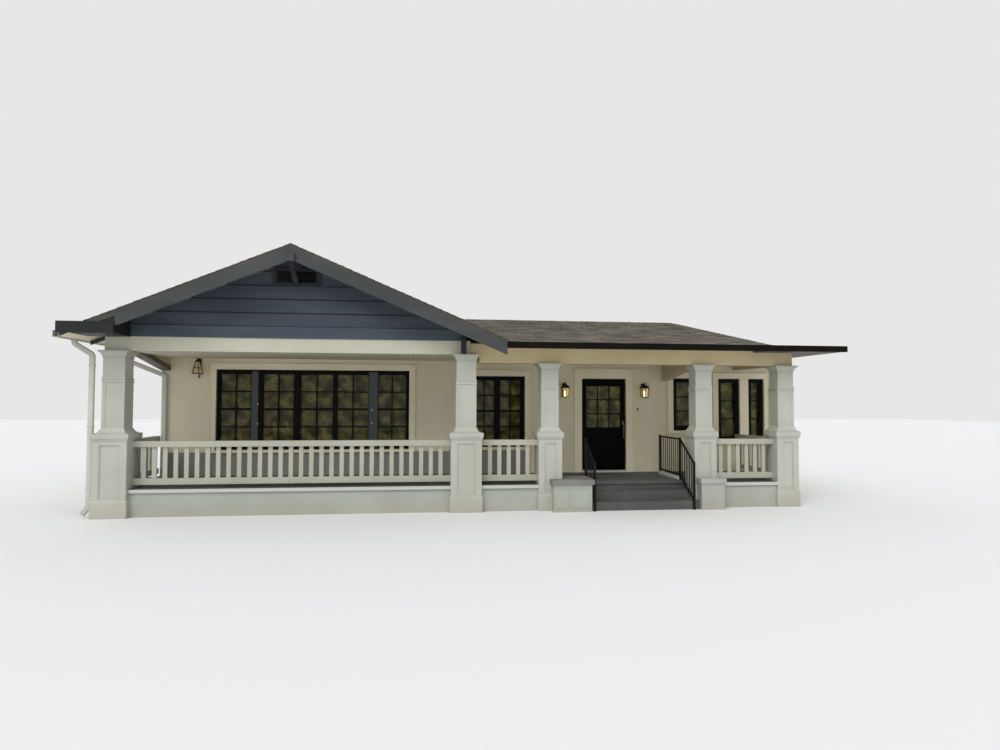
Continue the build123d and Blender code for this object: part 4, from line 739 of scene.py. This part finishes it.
def shingles(name, origin, across, upward, length, run, seed, valley=None):
    """Courses of tabs on a slope. A tab's place is origin + across * s + upward * t + normal * lift:
    s steps by the tab's width with a half step on every other course, t by the course's height.
    Its foot is lifted by 8 to 14 mm and its head by 1 mm. valley cuts the tabs' left ends back.
    The layer "tab" holds a tone for each tab and the share of the way from its foot to its head."""
    width, course, gap = 0.305, 0.14, 0.006
    origin, across, upward = (np.array(v, float) for v in (origin, across, upward))
    normal = np.cross(across, upward)
    normal = normal / np.linalg.norm(normal) * np.sign(normal[2])
    random = np.random.default_rng(seed)
    t, s = np.meshgrid(np.arange(0, run - 0.02, course), np.arange(-width, length, width), indexing="ij")
    shift = (np.arange(t.shape[0]) % 2)[:, None] * width / 2
    s0 = np.clip(s + shift + gap / 2, 0, length)
    s1 = np.clip(s + shift + width - gap / 2, 0, length)
    t0 = t + random.uniform(-0.004, 0.004, t.shape)
    t1 = np.minimum(t + course + 0.025, run)
    lift = random.uniform(0.008, 0.014, t.shape)
    corners = np.empty(t.shape + (8, 3))
    flat = np.zeros_like(lift)
    head = np.full_like(lift, 0.001)
    ends = [(s0, t0), (s1, t0), (s1, t1), (s0, t1)]
    for index, height in enumerate([flat, flat, flat, flat, lift, lift, head, head]):
        across_by, up_by = ends[index % 4]
        place = origin + across * across_by[..., None] + upward * up_by[..., None]
        corners[..., index, :] = place + normal * height[..., None]
    keep = s1 - s0 > 0.02
    if valley is not None:
        edge = valley(corners[..., 1])
        corners[..., 0] = np.maximum(corners[..., 0], edge)
        keep &= corners[..., 1, 0] - corners[..., 0, 0] > 0.02
        keep &= corners[..., 2, 0] - corners[..., 3, 0] > 0.005
    corners = corners[keep]
    if np.cross(across, upward)[2] < 0:
        corners = corners[:, [1, 0, 3, 2, 5, 4, 7, 6]]
    made = blocks(name, corners, shingle, "shingles")
    tones = random.uniform(0.0, 1.0, len(corners))
    layer = made.data.uv_layers.new(name="tab")
    at_head = np.isin(HEX.ravel() % 4, (2, 3)).astype(float)
    pairs = np.stack([np.repeat(tones, HEX.size), np.tile(at_head, len(tones))], axis=1)
    layer.data.foreach_set("uv", pairs.ravel())
    return made


CAP_WIDTH = 0.14
low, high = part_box("gable_roof_left")
gable_top = high.z
angle = math.atan(SLOPE)
cosine, sine = math.cos(angle), math.sin(angle)
up_left, up_right = (cosine, 0, sine), (-cosine, 0, sine)
start, gable_length = low.y - 0.01, high.y - low.y + 0.02
run = (ridge_x - low.x) / cosine - CAP_WIDTH
foot = (low.x - 0.02, start, gable_top - SLOPE * (ridge_x - low.x) - 0.02 * SLOPE)
shingles("left_shingles", foot, (0, 1, 0), up_left, gable_length, run, 11)
run = (eave_end - ridge_x) / cosine - CAP_WIDTH
foot = (eave_end, start, gable_top - SLOPE * (eave_end - ridge_x))
shingles("right_shingles", foot, (0, 1, 0), up_right, gable_length, run, 12)
low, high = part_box("main_roof_front")
front_eave, ridge_y, verge, main_top = low.y, high.y, high.x, high.z
back_eave = 2 * ridge_y - front_eave
main_eave_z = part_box("flat_roof")[1].z
MAIN_SLOPE = (main_top - main_eave_z) / (ridge_y - front_eave)
main_angle = math.atan(MAIN_SLOPE)
main_cosine, main_sine = math.cos(main_angle), math.sin(main_angle)
up_front, up_back = (0, main_cosine, main_sine), (0, -main_cosine, main_sine)


def valley_line(y):
    """Where the long roof meets the gabled one: both surfaces have the same height there."""
    rise = MAIN_SLOPE * np.minimum(y - front_eave, back_eave - y)
    return ridge_x + (gable_top - main_eave_z - rise) / SLOPE + 0.01


run = (ridge_y - front_eave) / main_cosine - CAP_WIDTH
main_length = verge - ridge_x + 0.01
for name, eave, upward, seed in (("front", front_eave, up_front, 13), ("back", back_eave, up_back, 14)):
    foot = (ridge_x, eave, main_eave_z)
    shingles(f"{name}_shingles", foot, (1, 0, 0), upward, main_length, run, seed, valley_line)

# Ridge caps
# Shingles bent over both ridges: a row of tabs on each side, whose courses run along the ridge.
# The long roof's caps stop where they meet the gabled roof.
for side, slope in ((-1, up_left), (1, up_right)):
    foot = (ridge_x + side * CAP_WIDTH * cosine, start, gable_top - 0.001 - CAP_WIDTH * sine)
    name = f"gable_ridge_caps_{side + 2}"
    caps = shingles(name, foot, slope, (0, 1, 0), CAP_WIDTH, gable_length, 20 + side)
    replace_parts(caps, "ridge_caps")
cap_start = valley_line(ridge_y)
for side, slope in ((-1, up_front), (1, up_back)):
    foot = (cap_start, ridge_y + side * CAP_WIDTH * main_cosine, main_top - CAP_WIDTH * main_sine)
    name = f"long_ridge_caps_{side + 2}"
    caps = shingles(name, foot, slope, (1, 0, 0), CAP_WIDTH, verge - cap_start, 30 + side)
    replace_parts(caps, "ridge_caps")

# Gutters and rain pipes
# Box gutters of painted sheet metal, hung on straps: dark ones at the long roof and a pale one on
# the left. Two white rectangular pipes with rounded edges are bent out to the left gutter.
gutter_paint = Finish("gutter_paint", {"Specular IOR Level": 0.12})
grime = gutter_paint.ramp(gutter_paint.noise(0.3), 0.45, 0.72)
tone = gutter_paint.mix(grime * 0.6, paint(15, 10, 7), paint(32, 25, 19))
on_the_left = gutter_paint.ramp(gutter_paint.along(0), -6.4, -6.5)
tone = gutter_paint.mix(on_the_left, tone, paint(158, 156, 144))
gutter_paint.show(tone, 0.55 + grime * 0.25, grime, 0.0008)
dress(gutter_paint, "gutters")
pipe_paint = brush_paint("pipe_paint", paint(196, 197, 189), paint(176, 177, 168), 2)
dress(pipe_paint, "downspout")


def bent(corners, radius):
    """A path through corners rounded by arcs. Each arc's centre lies radius / cos(turn / 2) inside its
    corner, and the arm from it to the path turns evenly from one leg's touching point to the other's."""
    corners = np.asarray(corners, float)
    path = [corners[:1]]
    for before, corner, after in zip(corners, corners[1:], corners[2:]):
        into = (corner - before) / np.linalg.norm(corner - before)
        out = (after - corner) / np.linalg.norm(after - corner)
        turn = math.acos(into @ out)
        inside = (out - into) / np.linalg.norm(out - into)
        centre = corner + inside * radius / math.cos(turn / 2)
        touch = radius * math.tan(turn / 2)
        share = np.linspace(0.0, 1.0, 9)[:, None]
        first, last = corner - into * touch - centre, corner + out * touch - centre
        arm = (first * np.sin((1 - share) * turn) + last * np.sin(share * turn)) / math.sin(turn)
        path.append(centre + arm)
    path.append(corners[-1:])
    return np.concatenate(path)


def sweep(path, side, section):
    """Points and faces of a closed section carried along a path in the plane square to side: each
    point is path + (side x tangent) * a + side * b. Both ends are closed with four-sided faces."""
    side, section = np.asarray(side, float), np.asarray(section, float)
    tangent = np.gradient(path, axis=0)
    normal = np.cross(side, tangent / np.linalg.norm(tangent, axis=1)[:, None])
    points = path[:, None] + normal[:, None] * section[None, :, :1] + side * section[None, :, 1:]
    count = len(section)
    i, j = np.meshgrid(np.arange(len(path) - 1) * count, np.arange(count), indexing="ij")
    beside = (j + 1) % count
    walls = np.stack([i + j, i + beside, i + count + beside, i + count + j], axis=2).reshape(-1, 4)
    j = np.arange(count // 2 - 1)
    end = np.stack([j, j + 1, count - 2 - j, count - 1 - j], axis=1)
    return points.reshape(-1, 3), np.concatenate([walls, end[:, ::-1], end + (len(path) - 1) * count])


turns = np.linspace(0.0, 2 * math.pi, 24, endpoint=False)
ROUND = np.stack([np.cos(turns), np.sin(turns)], axis=1)
PIPE_WIDE, PIPE_DEEP, STRAP = 0.045, 0.035, 0.004
PIPE = np.sign(ROUND) * np.abs(ROUND) ** 0.45 * (PIPE_WIDE, PIPE_DEEP)
pipe_low, pipe_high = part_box("downspout")
outlet = pipe_low.x + PIPE_WIDE


def rain_pipe(name, x, y, corners, straps):
    """A pipe through corners of (x, z), and a strap round its upright run at each height in straps."""
    path = bent([(at, y, z) for at, z in corners], 0.08)
    wide, deep = PIPE_WIDE + STRAP, PIPE_DEEP + STRAP
    bands = straight([(x - wide, x + wide, y - deep, y + deep, z, z + 0.025) for z in straps])
    return piece(name, *gather([sweep(path, (0, 1, 0), PIPE), solid(bands)]), pipe_paint, "rail_paint")


x, y = pipe_high.x - PIPE_WIDE, (pipe_low.y + pipe_high.y) / 2
turned_out = [(x - 0.1, 0.06), (x, 0.2), (x, 2.8), (outlet, 2.99), (outlet, pipe_high.z)]
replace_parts(rain_pipe("porch_rain_pipe", x, y, turned_out, (0.5, 1.55, 2.6)), "downspout")
x, y = -6.155, FRONT - 0.041
under_beam = [(x, FLOOR + 0.002), (x, 2.52), (outlet, 2.84), (outlet, pipe_high.z)]
rain_pipe("corner_rain_pipe", x, y, under_beam, (0.9, 2.2))
STRAP_SPACING, GUTTER_DEEP = 0.75, 0.108
gutter_end, gutter_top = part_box("gutters")[1].x, main_eave_z - 0.001
inside = [(y + 0.001, y + 0.099) for y in (front_eave - 0.1, back_eave)]
straps = []
for x in np.arange(0.9, 6.9, STRAP_SPACING):
    straps += [(x, x + 0.025, *ys, gutter_top - 0.003, gutter_top) for ys in inside]
blocks("gutter_straps", straight(straps), gutter_paint, "gutter_paint")
ends = [(gutter_end - 0.006, gutter_end, *ys, gutter_top - GUTTER_DEEP, gutter_top) for ys in inside]
blocks("gutter_ends", straight(ends), gutter_paint, "gutter_paint")

# Balustrades and iron handrails
# White rails with flat sawn balusters between the piers, and black iron rails at the steps.
# Square iron posts, each with a flat cap, are welded in where the rails begin, turn and end.
rail_paint = brush_paint("rail_paint", paint(178, 177, 161), paint(160, 158, 141), 0)
dress(rail_paint, "balustrade_left", "balustrade_middle", "balustrade_right", "side_balustrades")
iron = Finish("iron", {"Metallic": 0.6})
pits = iron.noise(0.004, detail=2.0)
rust = iron.ramp(iron.noise(0.08), 0.62, 0.8)
tone = iron.mix(rust * 0.35, paint(24, 24, 25), paint(62, 46, 36))
iron.show(tone, 0.45 + pits * 0.25, pits, 0.0006)
dress(iron, "handrails")
iron_low, iron_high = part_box("handrails")
left_x, right_x = iron_low.x + 0.015, iron_high.x - 0.015
foot_y, back_y = iron_low.y + 0.0125, iron_high.y - 0.0125
newel_y = back_y - 1.1
from_ground, from_porch = (0.0, 0.884), (FLOOR, iron_high.z + 0.005)
stands = [(left_x, foot_y, *from_ground), (left_x, newel_y, *from_porch), (right_x, foot_y, *from_ground)]
stands += [(right_x, newel_y, *from_porch), (right_x, back_y, *from_porch)]
post, cap, cap_thick = 0.019, 0.024, 0.009
rows = [(x - post, x + post, y - post, y + post, z, top) for x, y, z, top in stands]
rows += [(x - cap, x + cap, y - cap, y + cap, top, top + cap_thick) for x, y, z, top in stands]
blocks("handrail_posts", straight(rows), iron, "iron", soften=0.002)

# Lanterns
# Dark bronze lanterns: two lit coach lanterns beside the door, and an open bell cage that hangs
# from a scroll bracket. Each has glass inside its bars and a lamp in the middle.
bronze = Finish("bronze", {"Metallic": 0.8})
patina = bronze.noise(0.03)
tone = bronze.mix(patina, paint(52, 40, 31), paint(30, 25, 22))
bronze.show(tone, 0.4 + patina * 0.25, patina, 0.0006)
dress(bronze, "lanterns")


def lit(name, colour, glow, clear):
    """Glass or a lamp that shines: glow is its strength and clear the share of light let through."""
    finish = Finish(name, {"Transmission Weight": clear, "IOR": 1.3, "Emission Strength": glow})
    seeds = finish.noise(0.02)
    cloudy = seeds * 0.4
    finish.feed(finish.shader, {"Emission Color": finish.mix(cloudy, colour, paint(222, 190, 132))})
    tone = finish.mix(cloudy, paint(232, 220, 186), paint(206, 186, 140))
    finish.show(tone, 0.12 + seeds * 0.2, seeds, 0.0006)
    return finish


def posts(x, y, z, spread, foot, head, half):
    """Square bars that lean: foot and head are (radius, height over z), and each bar stands at
    radius * spread from x, y."""
    corners = np.empty((len(spread), 8, 3))
    for first, (radius, height) in ((0, foot), (4, head)):
        corners[:, first:first + 4, :2] = (x, y) + radius * spread[:, None] + half * SQUARE[None]
        corners[:, first:first + 4, 2] = z + height
    return solid(corners)


MIDDLES = np.array([(0, -1), (1, 0), (0, 1), (-1, 0)], float)
EIGHT = np.concatenate([SQUARE, MIDDLES])
HALF_ROD = 0.005
TRAY = [(0.002, 0.0), (0.012, 0.008), (0.008, 0.026), (0.072, 0.03), (0.072, 0.044), (0.002, 0.046)]
HOOD = [(0.002, 0.232), (0.08, 0.232), (0.08, 0.245), (0.066, 0.27), (0.044, 0.288)]
HOOD += [(0.03, 0.296), (0.03, 0.31), (0.012, 0.322), (0.008, 0.36), (0.002, 0.365)]
PANE = [(0.058, 0.044), (0.064, 0.232), (0.061, 0.232), (0.055, 0.044)]
CANDLE = [(0.001, 0.046), (0.011, 0.046), (0.011, 0.11), (0.019, 0.135), (0.013, 0.165), (0.001, 0.175)]
metal, warm_panes, lamps = [], [], []
for x in (2.1, 3.875):
    y, z = FRONT - 0.105, FLOOR + 1.6
    metal += [ring(TRAY, SQUARE, x, y, z), ring(HOOD, SQUARE, x, y, z)]
    metal.append(posts(x, y, z, EIGHT, (0.063, 0.04), (0.07, 0.236), HALF_ROD))
    plate = (x - 0.045, x + 0.045, FRONT - 0.012, FRONT, z + 0.1, z + 0.34)
    metal.append(solid(straight([plate, (x - 0.008, x + 0.008, y, FRONT, z + 0.3, z + 0.314)])))
    warm_panes.append(ring(PANE, SQUARE, x, y, z))
    lamps.append(ring(CANDLE, ROUND, x, y, z))
x, y, z = -5.495, FRONT - 0.16, FLOOR + 2.07
BELL_CAP = [(0.002, 0.25), (0.052, 0.25), (0.044, 0.27), (0.016, 0.288), (0.012, 0.32), (0.002, 0.324)]
metal.append(ring(BELL_CAP, ROUND, x, y, z))
for radius, low in ((0.114, 0.008), (0.082, 0.126)):
    hoop = [(radius - 0.009, 0.0), (radius, 0.0), (radius, 0.011), (radius - 0.009, 0.011)]
    metal.append(ring(hoop, ROUND, x, y, z + low))
metal.append(posts(x, y, z, ROUND[::4], (0.108, 0.014), (0.046, 0.253), HALF_ROD))
scroll = [(x, y, z + 0.28), (x, y, z + 0.318), (x, FRONT - 0.02, z + 0.318), (x, FRONT - 0.02, z - 0.05)]
scroll += [(x, FRONT - 0.075, z - 0.09), (x, FRONT - 0.075, z - 0.02)]
metal.append(sweep(bent(scroll, 0.02), (1, 0, 0), ROUND * 0.008))
metal.append(solid(straight([(x - 0.03, x + 0.03, FRONT - 0.013, FRONT, z + 0.05, z + 0.31)])))
BULB = [(0.001, 0.105), (0.018, 0.118), (0.024, 0.14), (0.018, 0.165), (0.01, 0.185)]
BULB += [(0.01, 0.25), (0.001, 0.25)]
CAGE_GLASS = [(0.098, 0.022), (0.042, 0.25), (0.039, 0.25), (0.095, 0.022)]
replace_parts(piece("wall_lanterns", *gather(metal), bronze, "lantern_metal"), "lanterns")
warm_glass = lit("warm_glass", paint(255, 232, 190), 0.1, 0.85)
pale_glass = lit("pale_glass", paint(220, 214, 190), 0.05, 0.85)
lamp_glow = lit("lamp_glow", paint(255, 240, 208), 6.0, 0.0)
piece("lantern_panes", *gather(warm_panes), warm_glass, "window_glass")
piece("bell_lantern_glass", *ring(CAGE_GLASS, ROUND, x, y, z), pale_glass, "window_glass")
piece("bell_lantern_bulb", *ring(BULB, ROUND, x, y, z), pale_glass, "window_glass")
piece("lantern_candles", *gather(lamps), lamp_glow, "window_glass")

# Kerb under the level handrail
# A low painted strip that the posts stand on.
kerb = (4.05, 4.12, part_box("step_upper")[0].y + 0.35, iron_high.y, FLOOR, FLOOR + 0.06)
blocks("handrail_kerb", straight(kerb), sill_paint, "rail_paint", soften=0.004)

# Floor and light
# A pale floor, an even sky and one broad soft lamp from the left.
pale_floor = Finish("pale_floor", {"Roughness": 0.9, "Base Color": (0.8, 0.8, 0.79, 1.0)})
reach = 60.0
ground = bpy.data.meshes.new("ground")
corners = [(-reach, -reach, 0), (reach, -reach, 0), (reach, reach, 0), (-reach, reach, 0)]
ground.from_pydata(corners, [], [(0, 1, 2, 3)])
ground.materials.append(pale_floor.material)
placed("ground", ground)
sun_data = bpy.data.lights.new("soft_lamp", "SUN")
sun_data.energy = 1.3
sun_data.angle = math.radians(35)
placed("soft_lamp", sun_data).rotation_euler = (math.radians(48), 0, math.radians(-28))
sky = bpy.data.worlds.new("sky")
sky.use_nodes = True
shaders = sky.node_tree.nodes
background = shaders["Background"]
background.inputs["Color"].default_value = (0.95, 0.97, 1.0, 1.0)
background.inputs["Strength"].default_value = 0.85
plain = shaders.new("ShaderNodeBackground")
plain.inputs["Color"].default_value = (0.8, 0.8, 0.8, 1.0)
light_path = shaders.new("ShaderNodeLightPath")
either = shaders.new("ShaderNodeMath")
either.operation = "ADD"
either.use_clamp = True
chosen = shaders.new("ShaderNodeMixShader")
links = [(light_path.outputs["Is Camera Ray"], either.inputs[0])]
links.append((light_path.outputs["Is Transmission Ray"], either.inputs[1]))
links.append((either.outputs[0], chosen.inputs[0]))
links.append((background.outputs[0], chosen.inputs[1]))
links.append((plain.outputs[0], chosen.inputs[2]))
links.append((chosen.outputs[0], shaders["World Output"].inputs["Surface"]))
for source, target in links:
    sky.node_tree.links.new(source, target)
house.world = sky
